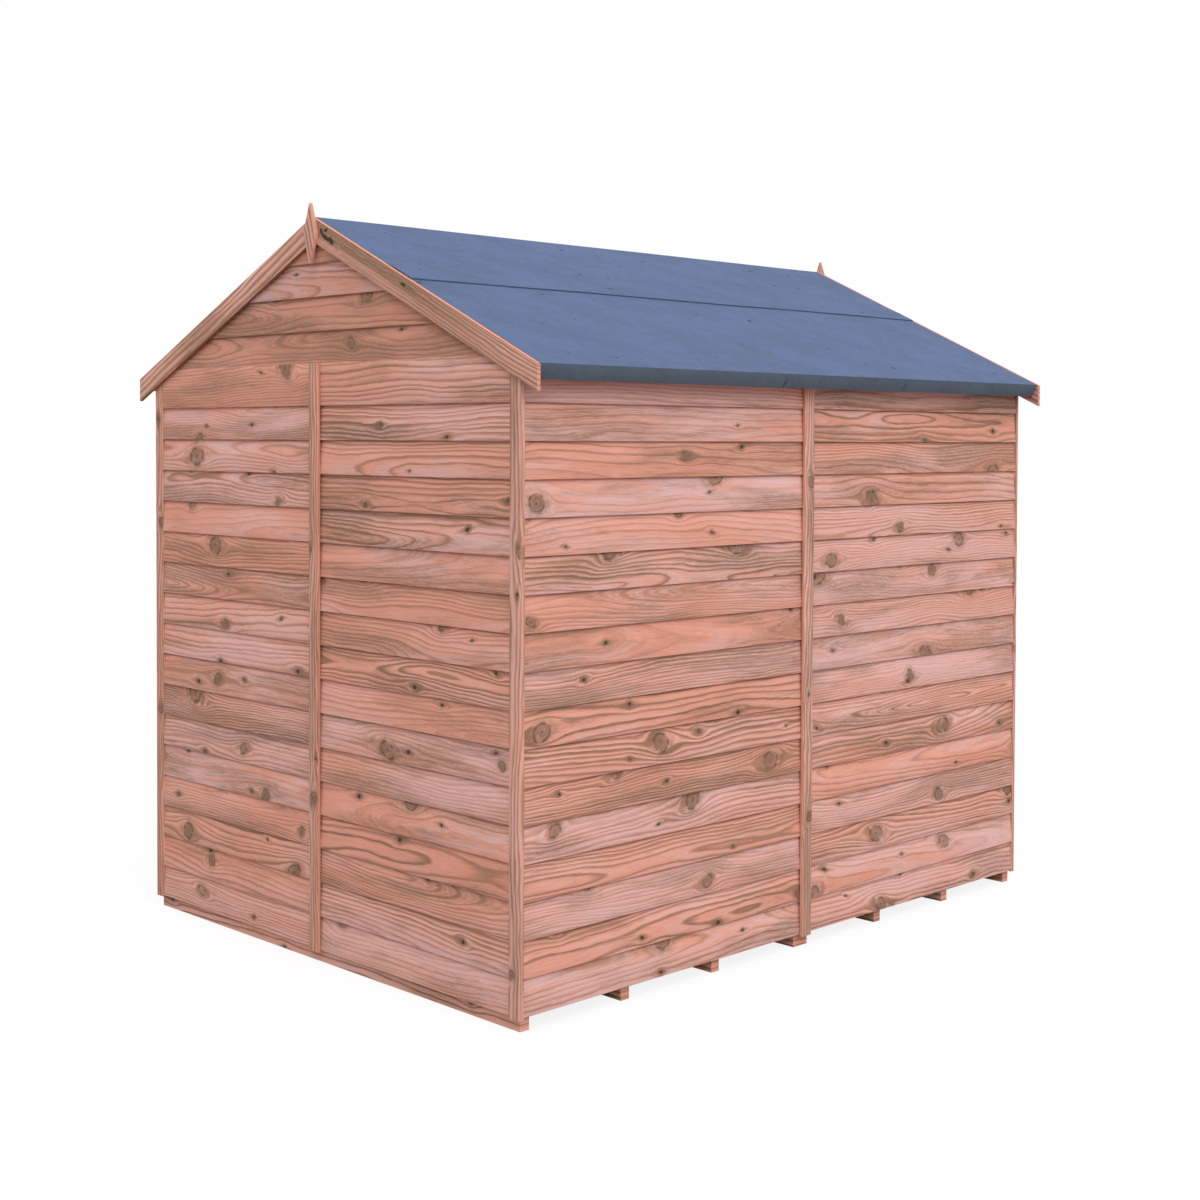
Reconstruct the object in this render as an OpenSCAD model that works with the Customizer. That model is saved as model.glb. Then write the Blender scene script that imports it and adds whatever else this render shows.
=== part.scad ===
// Garden shed with an apex roof, in millimetres.
// The ridge runs along Y, the rear gable faces -Y, and the right side faces +X.
// It stands on its floor bearers at Z = 0.

/* [Floor] */
// Length of the floor, along the ridge
floor_length = 2400; // [2000:50:3000]
// Width of the floor, across the gables
floor_width = 1830; // [1600:10:2200]
// Bearers under each half of the floor
bearers_per_half = 4; // [3:1:6]
// Width of one bearer
bearer_width = 34; // [28:1:50]
// Height of one bearer
bearer_height = 50; // [44:1:75]
// Thickness of the floor boards
deck_thickness = 12; // [9:1:20]

/* [Walls] */
// Height of the walls at the outer face of their frames
wall_height = 1837; // [1700:1:2000]
// Width of a stud, rail or rafter, across its wall
stud_width = 34; // [28:1:45]
// Depth of a stud, rail or rafter, through its wall
stud_depth = 35; // [28:1:50]
// Depth of the lapped boards, at the lap
cladding_depth = 16; // [12:1:20]
// Height of the boards' lower edge over the ground
cladding_bottom = 42; // [36:1:44]

/* [Trim] */
// Width of a corner trim
trim_width = 45; // [36:1:60]
// Height of the trims' lower ends over the ground
trim_bottom = 36; // [20:1:42]
// Width of a cover strip over a panel joint
strip_width = 47; // [40:1:80]
// Thickness of a cover strip
strip_thickness = 10; // [8:1:14]

/* [Roof] */
// Slope of the roof
roof_pitch = 25; // [20:0.5:30]
// Reach of the eaves past the floor's edge
eaves_overhang = 91; // [86:1:140]
// Reach of the roof past the floor's ends, under the barge boards
verge_reach = 18; // [16:1:40]
// Thickness of the roof boards
roof_board_thickness = 12; // [9:1:18]
// Thickness of the roofing felt
felt_thickness = 3; // [2:0.5:4]
// Depth of the eaves edge, square to the slope
eaves_depth = 47; // [40:1:60]
// Width of the rail along the eaves
eaves_rail_width = 35; // [25:1:36]
// Depth of a purlin, square to the slope
purlin_depth = 45; // [35:1:70]
// Purlins under each slope, evenly spaced
purlins_per_slope = 1; // [1:1:3]

/* [Barge boards] */
// Depth of a barge board, measured upright
barge_depth = 75; // [60:1:110]
// Thickness of a barge board
barge_thickness = 12; // [9:1:18]
// Reach of the barge boards past the eaves edge
barge_reach = 4; // [2:1:20]
// Width of a finial
finial_width = 67; // [50:1:100]
// Height of a finial
finial_height = 183; // [150:1:240]
// Rise of a finial over the ridge
finial_rise = 40; // [30:1:60]
// Width of the flat at a finial's point
finial_flat = 5; // [4:1:20]
// Thickness of a finial
finial_thickness = 9; // [6:1:14]

/* [Door] */
// Width of the doorway
door_width = 760; // [650:10:860]
// Clearance around the door
door_gap = 3; // [2:1:5]
// Overlap of the door on its posts
door_lap = 10; // [8:1:16]
// Height of a ledge across the door
ledge_height = 95; // [70:5:120]
// Thickness of a ledge
ledge_thickness = 20; // [15:1:26]
// Length of a strap hinge
hinge_length = 330; // [260:10:400]
// Height of a strap hinge
hinge_height = 36; // [28:1:50]
// Thickness of the door's metal plates
plate_thickness = 3; // [2:0.5:4]

/* [Hidden] */

cladding_color = [0.79, 0.56, 0.50];
trim_color = [0.77, 0.55, 0.48];
frame_color = [0.80, 0.66, 0.52];
felt_color = [0.40, 0.48, 0.63];
felt_edge_color = [0.31, 0.35, 0.40];
metal_color = [0.12, 0.12, 0.13];

half_l = floor_length / 2;
half_w = floor_width / 2;
deck_top = bearer_height + deck_thickness;
wall_x = half_w + cladding_depth;
wall_y = half_l + cladding_depth;
inner_x = half_w - stud_depth;
inner_y = half_l - stud_depth;
roof_build = felt_thickness + roof_board_thickness;
ridge_height = wall_height + half_w * tan(roof_pitch) + roof_build / cos(roof_pitch);
slope_length = (half_w + eaves_overhang) / cos(roof_pitch);
roof_y = half_l + verge_reach;
barge_x = half_w + eaves_overhang + barge_reach;
barge_y = roof_y + barge_thickness;
ridge_beam_half = stud_width / 2;
ridge_beam_depth = 2 * stud_width;
door_half = door_width / 2;
door_bottom = cladding_bottom + door_lap;
ledge_places = [0.13, 0.5, 0.87];

// Height of the roof boards' underside over a distance from the ridge
function under(x) = ridge_height - roof_build / cos(roof_pitch) - x * tan(roof_pitch);

// Point in the gable's plane, a distance down the slope and a depth under the felt
function on_slope(along, depth) = [
    along * cos(roof_pitch) - depth * sin(roof_pitch),
    ridge_height - along * sin(roof_pitch) - depth * cos(roof_pitch)
];

// Point where a depth under the felt meets the plane of the ridge
function at_ridge(depth) = on_slope(depth * tan(roof_pitch), depth);

// A box from its lowest to its highest corner
module block(low, high) {
    translate(low)
        cube(high - low);
}

// An outline in the gable's plane, extruded along Y
module along_y(from, to, outline) {
    translate([0, to, 0])
        rotate([90, 0, 0])
            linear_extrude(height = to - from)
                polygon(outline);
}

// A right-hand shape turned to the left-hand side
module left_hand() {
    mirror([1, 0, 0])
        children();
}

// A rear shape turned to the front
module front_hand() {
    mirror([0, 1, 0])
        children();
}

// Bearers under the rear half of the floor, the last one on the middle line
module half_bearers() {
    step = (half_l - bearer_width) / (bearers_per_half - 1);
    for (i = [0 : bearers_per_half - 1])
        block(
            [-half_w, -half_l + i * step, 0],
            [half_w, -half_l + i * step + bearer_width, bearer_height]
        );
}

// Boards of the rear half of the floor
module half_deck() {
    block([-half_w, -half_l, bearer_height], [half_w, 0, deck_top]);
}

// Boards of one panel of the right side wall
module side_cladding(from, to) {
    along_y(from, to, [
        [half_w, cladding_bottom],
        [wall_x, cladding_bottom],
        [wall_x, under(wall_x)],
        [half_w, wall_height]
    ]);
}

// Sole and head rails of the right side wall
module side_rails() {
    block([inner_x, -half_l, deck_top], [half_w, half_l, deck_top + stud_width]);
    along_y(-half_l, half_l, [
        [inner_x, wall_height - stud_width],
        [half_w, wall_height - stud_width],
        [half_w, wall_height],
        [inner_x, under(inner_x)]
    ]);
}

// Studs of the right side wall, with a double one where its panels meet
module side_studs() {
    edge = half_l - stud_width / 2;
    places = [-edge, -half_l / 2, 0, half_l / 2, edge];
    for (y = places) {
        half = y == 0 ? stud_width : stud_width / 2;
        block(
            [inner_x, y - half, deck_top + stud_width],
            [half_w, y + half, wall_height - stud_width]
        );
    }
}

// Strip over the joint between the right side's panels
module side_strip() {
    outer = wall_x + strip_thickness;
    along_y(-strip_width / 2, strip_width / 2, [
        [wall_x, trim_bottom],
        [outer, trim_bottom],
        [outer, under(outer)],
        [wall_x, under(wall_x)]
    ]);
}

// Boards of one lower panel of the rear gable
module gable_cladding(from, to) {
    block([from, -wall_y, cladding_bottom], [to, -half_l, wall_height]);
}

// Boards of the rear gable's peak, in one panel
module peak_cladding() {
    along_y(-wall_y, -half_l, [
        [-half_w, wall_height],
        [half_w, wall_height],
        [0, under(0)]
    ]);
}

// A rail across the rear gable's frame
module gable_rail(from, to, bottom) {
    block([from, -half_l, bottom], [to, -inner_y, bottom + stud_width]);
}

// A stud of the rear gable's frame, between its rails
module gable_stud(x, half, bottom) {
    block([x - half, -half_l, bottom], [x + half, -inner_y, wall_height - stud_width]);
}

// Rafter on the right of the rear gable's frame
module gable_rafter() {
    drop = stud_width / cos(roof_pitch);
    along_y(-half_l, -inner_y, [
        [ridge_beam_half, under(ridge_beam_half)],
        [inner_x, under(inner_x)],
        [inner_x, wall_height],
        [half_w - drop / tan(roof_pitch), wall_height],
        [ridge_beam_half, under(ridge_beam_half) - drop]
    ]);
}

// Both rafters of the rear gable's frame
module gable_rafters() {
    gable_rafter();
    left_hand()
        gable_rafter();
}

// Trim at the right corner of the rear gable
module corner_trim() {
    inner = wall_x - trim_width;
    along_y(-wall_y, -half_l, [
        [inner, trim_bottom],
        [wall_x, trim_bottom],
        [wall_x, under(wall_x)],
        [half_w, wall_height],
        [inner, wall_height]
    ]);
}

// Trims at both corners of the rear gable
module corner_trims() {
    corner_trim();
    left_hand()
        corner_trim();
}

// Layer of the right slope between two depths, from the ridge to the eaves
module slope_layer(upper, lower, along) {
    along_y(-roof_y, roof_y, [
        at_ridge(upper),
        on_slope(along, upper),
        on_slope(along, lower),
        at_ridge(lower)
    ]);
}

// Bar along the right slope, between two places and two depths
module slope_bar(half_length, from, to, upper, lower) {
    along_y(-half_length, half_length, [
        on_slope(from, upper),
        on_slope(to, upper),
        on_slope(to, lower),
        on_slope(from, lower)
    ]);
}

// Purlins under the right slope, evenly spaced from the ridge to the eaves
module purlins() {
    step = slope_length / (purlins_per_slope + 1);
    for (i = [1 : purlins_per_slope])
        slope_bar(
            inner_y,
            i * step - stud_width / 2,
            i * step + stud_width / 2,
            roof_build,
            roof_build + purlin_depth
        );
}

// Rail along the right eaves
module eaves_rail() {
    edge = slope_length - felt_thickness;
    slope_bar(roof_y, edge - eaves_rail_width, edge, roof_build, eaves_depth);
}

// Felt turned down over the right eaves
module eaves_turn() {
    slope_bar(roof_y, slope_length - felt_thickness, slope_length, felt_thickness, eaves_depth);
}

// Right-hand barge board of the rear gable
module barge_board() {
    end_height = ridge_height - barge_x * tan(roof_pitch);
    along_y(-barge_y, -roof_y, [
        [0, ridge_height],
        [barge_x, end_height],
        [barge_x, end_height - barge_depth],
        [0, ridge_height - barge_depth]
    ]);
}

// Finial on the rear gable's barge boards
module finial() {
    top = ridge_height + finial_rise;
    bottom = top - finial_height;
    along_y(-barge_y - finial_thickness, -barge_y, [
        [-finial_flat / 2, top],
        [finial_flat / 2, top],
        [finial_width / 2, (top + bottom) / 2],
        [finial_flat / 2, bottom],
        [-finial_flat / 2, bottom],
        [-finial_width / 2, (top + bottom) / 2]
    ]);
}

// Boards of the door, in line with the front gable's boards
module leaf() {
    half = door_half - door_gap;
    block([-half, half_l, door_bottom], [half, wall_y, wall_height - door_gap]);
}

// Ledges across the inside of the door
module ledges() {
    half = door_half - door_lap - door_gap;
    span = wall_height - deck_top;
    for (place = ledge_places)
        block(
            [-half, half_l - ledge_thickness, deck_top + place * span - ledge_height / 2],
            [half, half_l, deck_top + place * span + ledge_height / 2]
        );
}

// Strap hinges and turn latch of the door
module hardware() {
    span = wall_height - deck_top;
    hinge_end = door_half + 2 * hinge_height;
    for (place = [ledge_places[0], ledge_places[2]])
        block(
            [hinge_end - hinge_length, wall_y, deck_top + place * span - hinge_height / 2],
            [hinge_end, wall_y + plate_thickness, deck_top + place * span + hinge_height / 2]
        );
    block(
        [-door_half - hinge_height, wall_y, deck_top + span / 2 - hinge_height / 2],
        [-door_half + 2 * hinge_height, wall_y + plate_thickness, deck_top + span / 2 + hinge_height / 2]
    );
}

module rear_floor_bearers() {
    color(frame_color)
        half_bearers();
}

module front_floor_bearers() {
    color(frame_color)
        front_hand()
            half_bearers();
}

module rear_floor_deck() {
    color(frame_color)
        half_deck();
}

module front_floor_deck() {
    color(frame_color)
        front_hand()
            half_deck();
}

module right_rear_cladding() {
    color(cladding_color)
        side_cladding(-half_l, 0);
}

module right_front_cladding() {
    color(cladding_color)
        side_cladding(0, half_l);
}

module left_rear_cladding() {
    color(cladding_color)
        left_hand()
            side_cladding(-half_l, 0);
}

module left_front_cladding() {
    color(cladding_color)
        left_hand()
            side_cladding(0, half_l);
}

module right_wall_rails() {
    color(frame_color)
        side_rails();
}

module left_wall_rails() {
    color(frame_color)
        left_hand()
            side_rails();
}

module right_wall_studs() {
    color(frame_color)
        side_studs();
}

module left_wall_studs() {
    color(frame_color)
        left_hand()
            side_studs();
}

module right_cover_strip() {
    color(trim_color)
        side_strip();
}

module left_cover_strip() {
    color(trim_color)
        left_hand()
            side_strip();
}

module rear_right_cladding() {
    color(cladding_color)
        gable_cladding(0, wall_x - trim_width);
}

module rear_left_cladding() {
    color(cladding_color)
        gable_cladding(trim_width - wall_x, 0);
}

module rear_peak_cladding() {
    color(cladding_color)
        peak_cladding();
}

module rear_gable_rails() {
    color(frame_color) {
        gable_rail(-inner_x, inner_x, deck_top);
        gable_rail(-inner_x, inner_x, wall_height - stud_width);
    }
}

module rear_gable_studs() {
    edge = inner_x - stud_width / 2;
    color(frame_color)
        for (x = [-edge, -edge / 2, 0, edge / 2, edge])
            gable_stud(x, x == 0 ? stud_width : stud_width / 2, deck_top + stud_width);
}

module rear_gable_rafters() {
    color(frame_color)
        gable_rafters();
}

module rear_corner_trims() {
    color(trim_color)
        corner_trims();
}

module rear_cover_strip() {
    color(trim_color)
        block(
            [-strip_width / 2, -wall_y - strip_thickness, trim_bottom],
            [strip_width / 2, -wall_y, wall_height]
        );
}

module front_right_cladding() {
    color(cladding_color)
        front_hand()
            gable_cladding(door_half, wall_x - trim_width);
}

module front_left_cladding() {
    color(cladding_color)
        front_hand()
            gable_cladding(trim_width - wall_x, -door_half);
}

module front_peak_cladding() {
    color(cladding_color)
        front_hand()
            peak_cladding();
}

module front_gable_rails() {
    post_outer = door_half - door_lap + stud_width;
    color(frame_color)
        front_hand() {
            gable_rail(post_outer, inner_x, deck_top);
            gable_rail(-inner_x, -post_outer, deck_top);
            gable_rail(-inner_x, inner_x, wall_height - stud_width);
        }
}

module front_gable_studs() {
    edge = inner_x - stud_width / 2;
    post = door_half - door_lap + stud_width / 2;
    color(frame_color)
        front_hand()
            for (side = [-1, 1]) {
                gable_stud(side * edge, stud_width / 2, deck_top + stud_width);
                gable_stud(side * post, stud_width / 2, deck_top);
            }
}

module front_gable_rafters() {
    color(frame_color)
        front_hand()
            gable_rafters();
}

module front_corner_trims() {
    color(trim_color)
        front_hand()
            corner_trims();
}

module door_leaf() {
    color(cladding_color)
        leaf();
}

module door_ledges() {
    color(frame_color)
        ledges();
}

module door_hardware() {
    color(metal_color)
        hardware();
}

module roof_purlins() {
    beam_bottom = under(0) - ridge_beam_depth;
    color(frame_color) {
        purlins();
        left_hand()
            purlins();
        along_y(-half_l, half_l, [
            [-ridge_beam_half, under(ridge_beam_half)],
            [0, under(0)],
            [ridge_beam_half, under(ridge_beam_half)],
            [ridge_beam_half, beam_bottom],
            [-ridge_beam_half, beam_bottom]
        ]);
    }
}

module eaves_rails() {
    color(frame_color) {
        eaves_rail();
        left_hand()
            eaves_rail();
    }
}

module right_roof_boards() {
    color(frame_color)
        slope_layer(felt_thickness, roof_build, slope_length - felt_thickness);
}

module left_roof_boards() {
    color(frame_color)
        left_hand()
            slope_layer(felt_thickness, roof_build, slope_length - felt_thickness);
}

module right_felt() {
    color(felt_color)
        slope_layer(0, felt_thickness, slope_length);
}

module left_felt() {
    color(felt_color)
        left_hand()
            slope_layer(0, felt_thickness, slope_length);
}

module eaves_felt() {
    color(felt_edge_color) {
        eaves_turn();
        left_hand()
            eaves_turn();
    }
}

module rear_right_barge() {
    color(trim_color)
        barge_board();
}

module rear_left_barge() {
    color(trim_color)
        left_hand()
            barge_board();
}

module front_right_barge() {
    color(trim_color)
        front_hand()
            barge_board();
}

module front_left_barge() {
    color(trim_color)
        front_hand()
            left_hand()
                barge_board();
}

module rear_finial() {
    color(trim_color)
        finial();
}

module front_finial() {
    color(trim_color)
        front_hand()
            finial();
}

rear_floor_bearers();
front_floor_bearers();
rear_floor_deck();
front_floor_deck();
right_rear_cladding();
right_front_cladding();
left_rear_cladding();
left_front_cladding();
right_wall_rails();
left_wall_rails();
right_wall_studs();
left_wall_studs();
right_cover_strip();
left_cover_strip();
rear_right_cladding();
rear_left_cladding();
rear_peak_cladding();
rear_gable_rails();
rear_gable_studs();
rear_gable_rafters();
rear_corner_trims();
rear_cover_strip();
front_right_cladding();
front_left_cladding();
front_peak_cladding();
front_gable_rails();
front_gable_studs();
front_gable_rafters();
front_corner_trims();
door_leaf();
door_ledges();
door_hardware();
roof_purlins();
eaves_rails();
right_roof_boards();
left_roof_boards();
right_felt();
left_felt();
eaves_felt();
rear_right_barge();
rear_left_barge();
front_right_barge();
front_left_barge();
rear_finial();
front_finial();
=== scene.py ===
"""Dresses the garden shed: its lapped boards, trims, felt, floor and door, and the studio around it."""

import logging
import math
import random
from dataclasses import dataclass, field, replace
from enum import Enum
from functools import reduce
from itertools import accumulate, product
from typing import Callable, Mapping, NamedTuple, Optional, Sequence, Union

import bmesh
import bpy
from mathutils import Matrix, Vector


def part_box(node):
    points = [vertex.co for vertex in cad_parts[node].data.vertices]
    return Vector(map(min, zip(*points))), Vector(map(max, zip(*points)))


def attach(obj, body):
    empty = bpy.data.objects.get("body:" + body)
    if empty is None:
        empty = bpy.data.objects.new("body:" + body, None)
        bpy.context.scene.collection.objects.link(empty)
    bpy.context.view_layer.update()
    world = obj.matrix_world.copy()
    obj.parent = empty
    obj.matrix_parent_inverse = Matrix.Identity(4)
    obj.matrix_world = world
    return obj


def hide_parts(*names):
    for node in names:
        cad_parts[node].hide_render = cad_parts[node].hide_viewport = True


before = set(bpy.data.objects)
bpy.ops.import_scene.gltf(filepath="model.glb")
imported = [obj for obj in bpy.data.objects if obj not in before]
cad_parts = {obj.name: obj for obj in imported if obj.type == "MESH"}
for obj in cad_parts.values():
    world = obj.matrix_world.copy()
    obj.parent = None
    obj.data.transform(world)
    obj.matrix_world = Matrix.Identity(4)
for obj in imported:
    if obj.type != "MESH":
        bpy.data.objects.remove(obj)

LOG = logging.getLogger("shed")
BODY = "root"
X, Y, Z = Vector((1, 0, 0)), Vector((0, 1, 0)), Vector((0, 0, 1))

# What a mesh carries for its finish: its grain map, and for each face its board's number and its edge light
# and wear: on wood a share of painted highlight above 0 and of painted shade below 0, on felt its cut edge,
# on enamel its rubbing
GRAIN_MAP = "grain"
BOARD_NUMBER = "board"
EDGE_LIGHT_AND_WEAR = "edge_light_and_wear"
# Where the grain map of a board starts across it if no board above shades it
NO_LAP = -0.1
SHARP_ANGLE = math.radians(38)
# How much of a side a rounding takes at most, and its painted highlight as a share of the side's
ROUNDING_SHARE = 0.3
RIM_HIGHLIGHT = 0.5
# Where the random numbers of each sub-assembly start
FLOOR_SEED, SIDE_SEED, GABLE_SEED, VERGE_SEED, ROOF_SEED, DOOR_SEED = 500, 100, 300, 400, 700, 811

Colour = tuple[float, float, float]
Point2 = tuple[float, float]
Cut = Union[float, Callable[[float], float]]
Material = bpy.types.Material
Value = Union["Val", float, Sequence[float]]


def srgb(*levels: int) -> Colour:
    """The linear values that shaders take, for a screen's red, green and blue of 0 to 255."""
    parts = [level / 255 for level in levels]
    return tuple(p / 12.92 if p <= 0.04045 else ((p + 0.055) / 1.055) ** 2.4 for p in parts)


class Axis(Enum):
    """An axis of the shed's frame, by its number."""

    X = 0
    Y = 1
    Z = 2


class Side(Enum):
    """A long side of the shed, by its sign along X."""

    RIGHT = 1
    LEFT = -1


class End(Enum):
    """A gable of the shed, by its sign along Y."""

    REAR = -1
    FRONT = 1


def operator(operation: str, reflected: bool = False) -> Callable[..., "Val"]:
    """Makes a method that adds one Math node.

    Args:
        operation: The node's operation.
        reflected: Whether the wrapped socket is the last input and not the first.

    Returns:
        The method.
    """

    def method(self: "Val", *others: Value) -> "Val":
        """The operation's result."""
        return self.net.math(operation, *((*others, self) if reflected else (self, *others)))

    return method


class Val:
    """A shader socket whose arithmetic adds Math nodes."""

    __add__ = operator("ADD")
    __radd__ = operator("ADD", reflected=True)
    __sub__ = operator("SUBTRACT")
    __rsub__ = operator("SUBTRACT", reflected=True)
    __mul__ = operator("MULTIPLY")
    __rmul__ = operator("MULTIPLY", reflected=True)
    __truediv__ = operator("DIVIDE")
    __rtruediv__ = operator("DIVIDE", reflected=True)
    __pow__ = operator("POWER")
    __gt__ = operator("GREATER_THAN")
    least = operator("MINIMUM")
    most = operator("MAXIMUM")
    floor = operator("FLOOR")
    fraction = operator("FRACT")
    root = operator("SQRT")
    size = operator("ABSOLUTE")
    exp = operator("EXPONENT")
    sine = operator("SINE")

    def __init__(self, net: "Net", socket: bpy.types.NodeSocket) -> None:
        """Wraps an output socket of a node tree."""
        self.net = net
        self.socket = socket

    def beside(self, output: Union[str, int]) -> "Val":
        """Another output of the same node."""
        return Val(self.net, self.socket.node.outputs[output])

    def step(self, low: Value, high: Value) -> "Val":
        """Smooth step from 0 where this is low to 1 where it is high."""
        sockets = {"Value": self, "From Min": low, "From Max": high}
        return self.net.add("ShaderNodeMapRange", {"interpolation_type": "SMOOTHSTEP"}, sockets)

    def coat(self, colour: Value, share: Value) -> "Val":
        """This colour with a share of another over it."""
        return self.net.mix(share, self, colour)


class Net:
    """The node tree of a material or of the sky, written as expressions."""

    def __init__(self, owner: Union[Material, bpy.types.World]) -> None:
        """Starts an empty tree.

        Args:
            owner: The material or the sky that it belongs to.
        """
        owner.use_nodes = True
        self.owner = owner
        self.tree = owner.node_tree
        self.tree.nodes.clear()

    @classmethod
    def finish(cls, name: str) -> "Net":
        """The empty tree of a new material."""
        return cls(bpy.data.materials.new(name))

    def add(
        self,
        kind: str,
        settings: Optional[Mapping[str, object]] = None,
        sockets: Optional[Mapping[Union[str, int], Value]] = None,
        output: Union[str, int] = 0,
    ) -> Val:
        """Adds a node of any type.

        Args:
            kind: The node's type.
            settings: The node's settings, set first.
            sockets: The values or links of its inputs, by name or number.
            output: The output that is returned, by name or number.

        Returns:
            The output.
        """
        node = self.tree.nodes.new(kind)
        for key, value in (settings or {}).items():
            setattr(node, key, value)
        for key, value in (sockets or {}).items():
            if isinstance(value, Val):
                self.tree.links.new(value.socket, node.inputs[key])
            else:
                node.inputs[key].default_value = value
        return Val(self, node.outputs[output] if node.outputs else None)

    def math(self, operation: str, *values: Value) -> Val:
        """A Math node's result."""
        return self.add("ShaderNodeMath", {"operation": operation}, dict(enumerate(values)))

    def mix(self, share: Value, first: Value, second: Value) -> Val:
        """The first colour with a share of the second, by the numbers of the node's colour sockets."""
        colours = [c if isinstance(c, Val) else (*c, 1.0) for c in (first, second)]
        return self.add("ShaderNodeMix", {"data_type": "RGBA"}, {0: share, 6: colours[0], 7: colours[1]}, 2)

    def ramp(self, share: Value, stops: Mapping[float, Colour]) -> Val:
        """Takes a colour off a ramp.

        Args:
            share: The place on the ramp.
            stops: The ramp's colours by place, in order.

        Returns:
            The colour.
        """
        colour = self.add("ShaderNodeValToRGB", None, {0: share})
        elements = colour.socket.node.color_ramp.elements
        while len(elements) < len(stops):
            elements.new(1.0)
        for element, (place, tint) in zip(elements, stops.items()):
            element.position = place
            element.color = (*tint, 1.0)
        return colour

    def grain(self) -> tuple[Val, Val]:
        """Metres along and across a board, from its grain map."""
        return self.split(self.add("ShaderNodeUVMap", {"uv_map": GRAIN_MAP}))[:2]

    def split(self, vector: Val) -> tuple[Val, Val, Val]:
        """The three parts of a vector or a colour."""
        first = self.add("ShaderNodeSeparateXYZ", None, {0: vector})
        return first, first.beside(1), first.beside(2)

    def join(self, x: Value, y: Value = 0.0, z: Value = 0.0) -> Val:
        """A vector of three values."""
        return self.add("ShaderNodeCombineXYZ", None, {0: x, 1: y, 2: z})

    def data(self, name: str) -> Val:
        """A number that the mesh carries."""
        return self.add("ShaderNodeAttribute", {"attribute_name": name}, output="Fac")

    def dice(self, seed: Value) -> tuple[Val, Val, Val]:
        """Three random values from one."""
        white = self.add("ShaderNodeTexWhiteNoise", {"noise_dimensions": "1D"}, {"W": seed}, "Color")
        return self.split(white)

    def noise(self, place: Sequence[Value], detail: float = 2.0, roughness: float = 0.5) -> Val:
        """Smooth noise about 0.5 at a scaled place."""
        sockets = {"Vector": self.join(*place), "Scale": 1.0, "Detail": detail, "Roughness": roughness}
        return self.add("ShaderNodeTexNoise", None, sockets)

    def bump(self, height: Val, strength: float, distance: float) -> Val:
        """The normal of a height of 0 to 1, which stands for a distance in metres."""
        sockets = {"Strength": strength, "Distance": distance, "Height": height}
        return self.add("ShaderNodeBump", None, sockets)

    def surface(self, **sockets: Value) -> Material:
        """Ends the material in a principled shader.

        Args:
            sockets: The shader's inputs, with _ for a space.

        Returns:
            The material.
        """
        named = {key.replace("_", " "): value for key, value in sockets.items()}
        shader = self.add("ShaderNodeBsdfPrincipled", None, named)
        self.add("ShaderNodeOutputMaterial", None, {"Surface": shader})
        return self.owner


class Span(NamedTuple):
    """A range of sizes, from which a board or a knot takes its own."""

    low: float
    high: float

    def at(self, share: Val) -> Val:
        """The size at a share of the range."""
        return self.low + (self.high - self.low) * share


class Board:
    """The place on a board that a shader sees, in metres on its grain map, and the board's own numbers."""

    def __init__(self, net: Net) -> None:
        """Reads them off the mesh.

        Args:
            net: The wood's nodes.
        """
        self.net = net
        self.u, self.v = net.grain()
        self.seed = net.data(BOARD_NUMBER)
        self.heart, self.depth, self.tone = net.dice(self.seed)
        self.ring, self.figure, self.shift = net.dice(self.seed + 5.31)
        self.bent = self.noise(17, 26) - 0.5

    def noise(self, along: float, across: float, detail: float = 2.0, roughness: float = 0.5) -> Val:
        """Noise of its own, with so many waves to a metre along and across the board."""
        return self.net.noise((self.u * along, self.v * across, self.seed), detail, roughness)


class KnotField(NamedTuple):
    """How a knot tells at a place on a board.

    ratio is the distance from the knot in its own radii, trail is the same drawn out along the grain, and
    push is how far the knot moves the growth rings, in metres.
    """

    ratio: Val
    trail: Val
    push: Val

    @classmethod
    def about(cls, du: Val, dv: Val, radius: Value, long: Value, clear: float, bent: Val) -> "KnotField":
        """Works out how a knot shows and how the growth rings flow round it.

        Args:
            du: Metres from the knot along the board.
            dv: Metres from the knot across the board.
            radius: The knot's radius across the board.
            long: How much distance along the board counts, less than 1 on a knot that is drawn out.
            clear: How far the rings keep off the knot, in its own radii.
            bent: Small noise that bends the knot's outline.

        Returns:
            The knot's field.
        """
        along, across = du * du * long / (radius * radius), dv * dv / (radius * radius)
        hug = (along * 0.3 + across) / (clear * clear)
        trail = (along * 0.05 + across).root() + bent * 0.8
        return cls((along + across).root() + bent * 0.5, trail, dv * (hug * -0.05).exp() / hug.most(1.0))


@dataclass(frozen=True)
class Knot:
    """One dark knot at a chosen place of a board, in metres on its grain map."""

    along: float
    across: float
    radius: float
    long: float = 0.3  # how much distance along the board counts
    lean: float = 0.0  # how far it leans across for each metre along
    clear: float = 1.8  # how far the rings keep off it, in its own radii

    def field(self, board: Board) -> KnotField:
        """How the knot tells on a board."""
        du = board.u - self.along
        dv = board.v - self.across + du * self.lean
        return KnotField.about(du, dv, self.radius, self.long, self.clear, board.bent)


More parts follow.
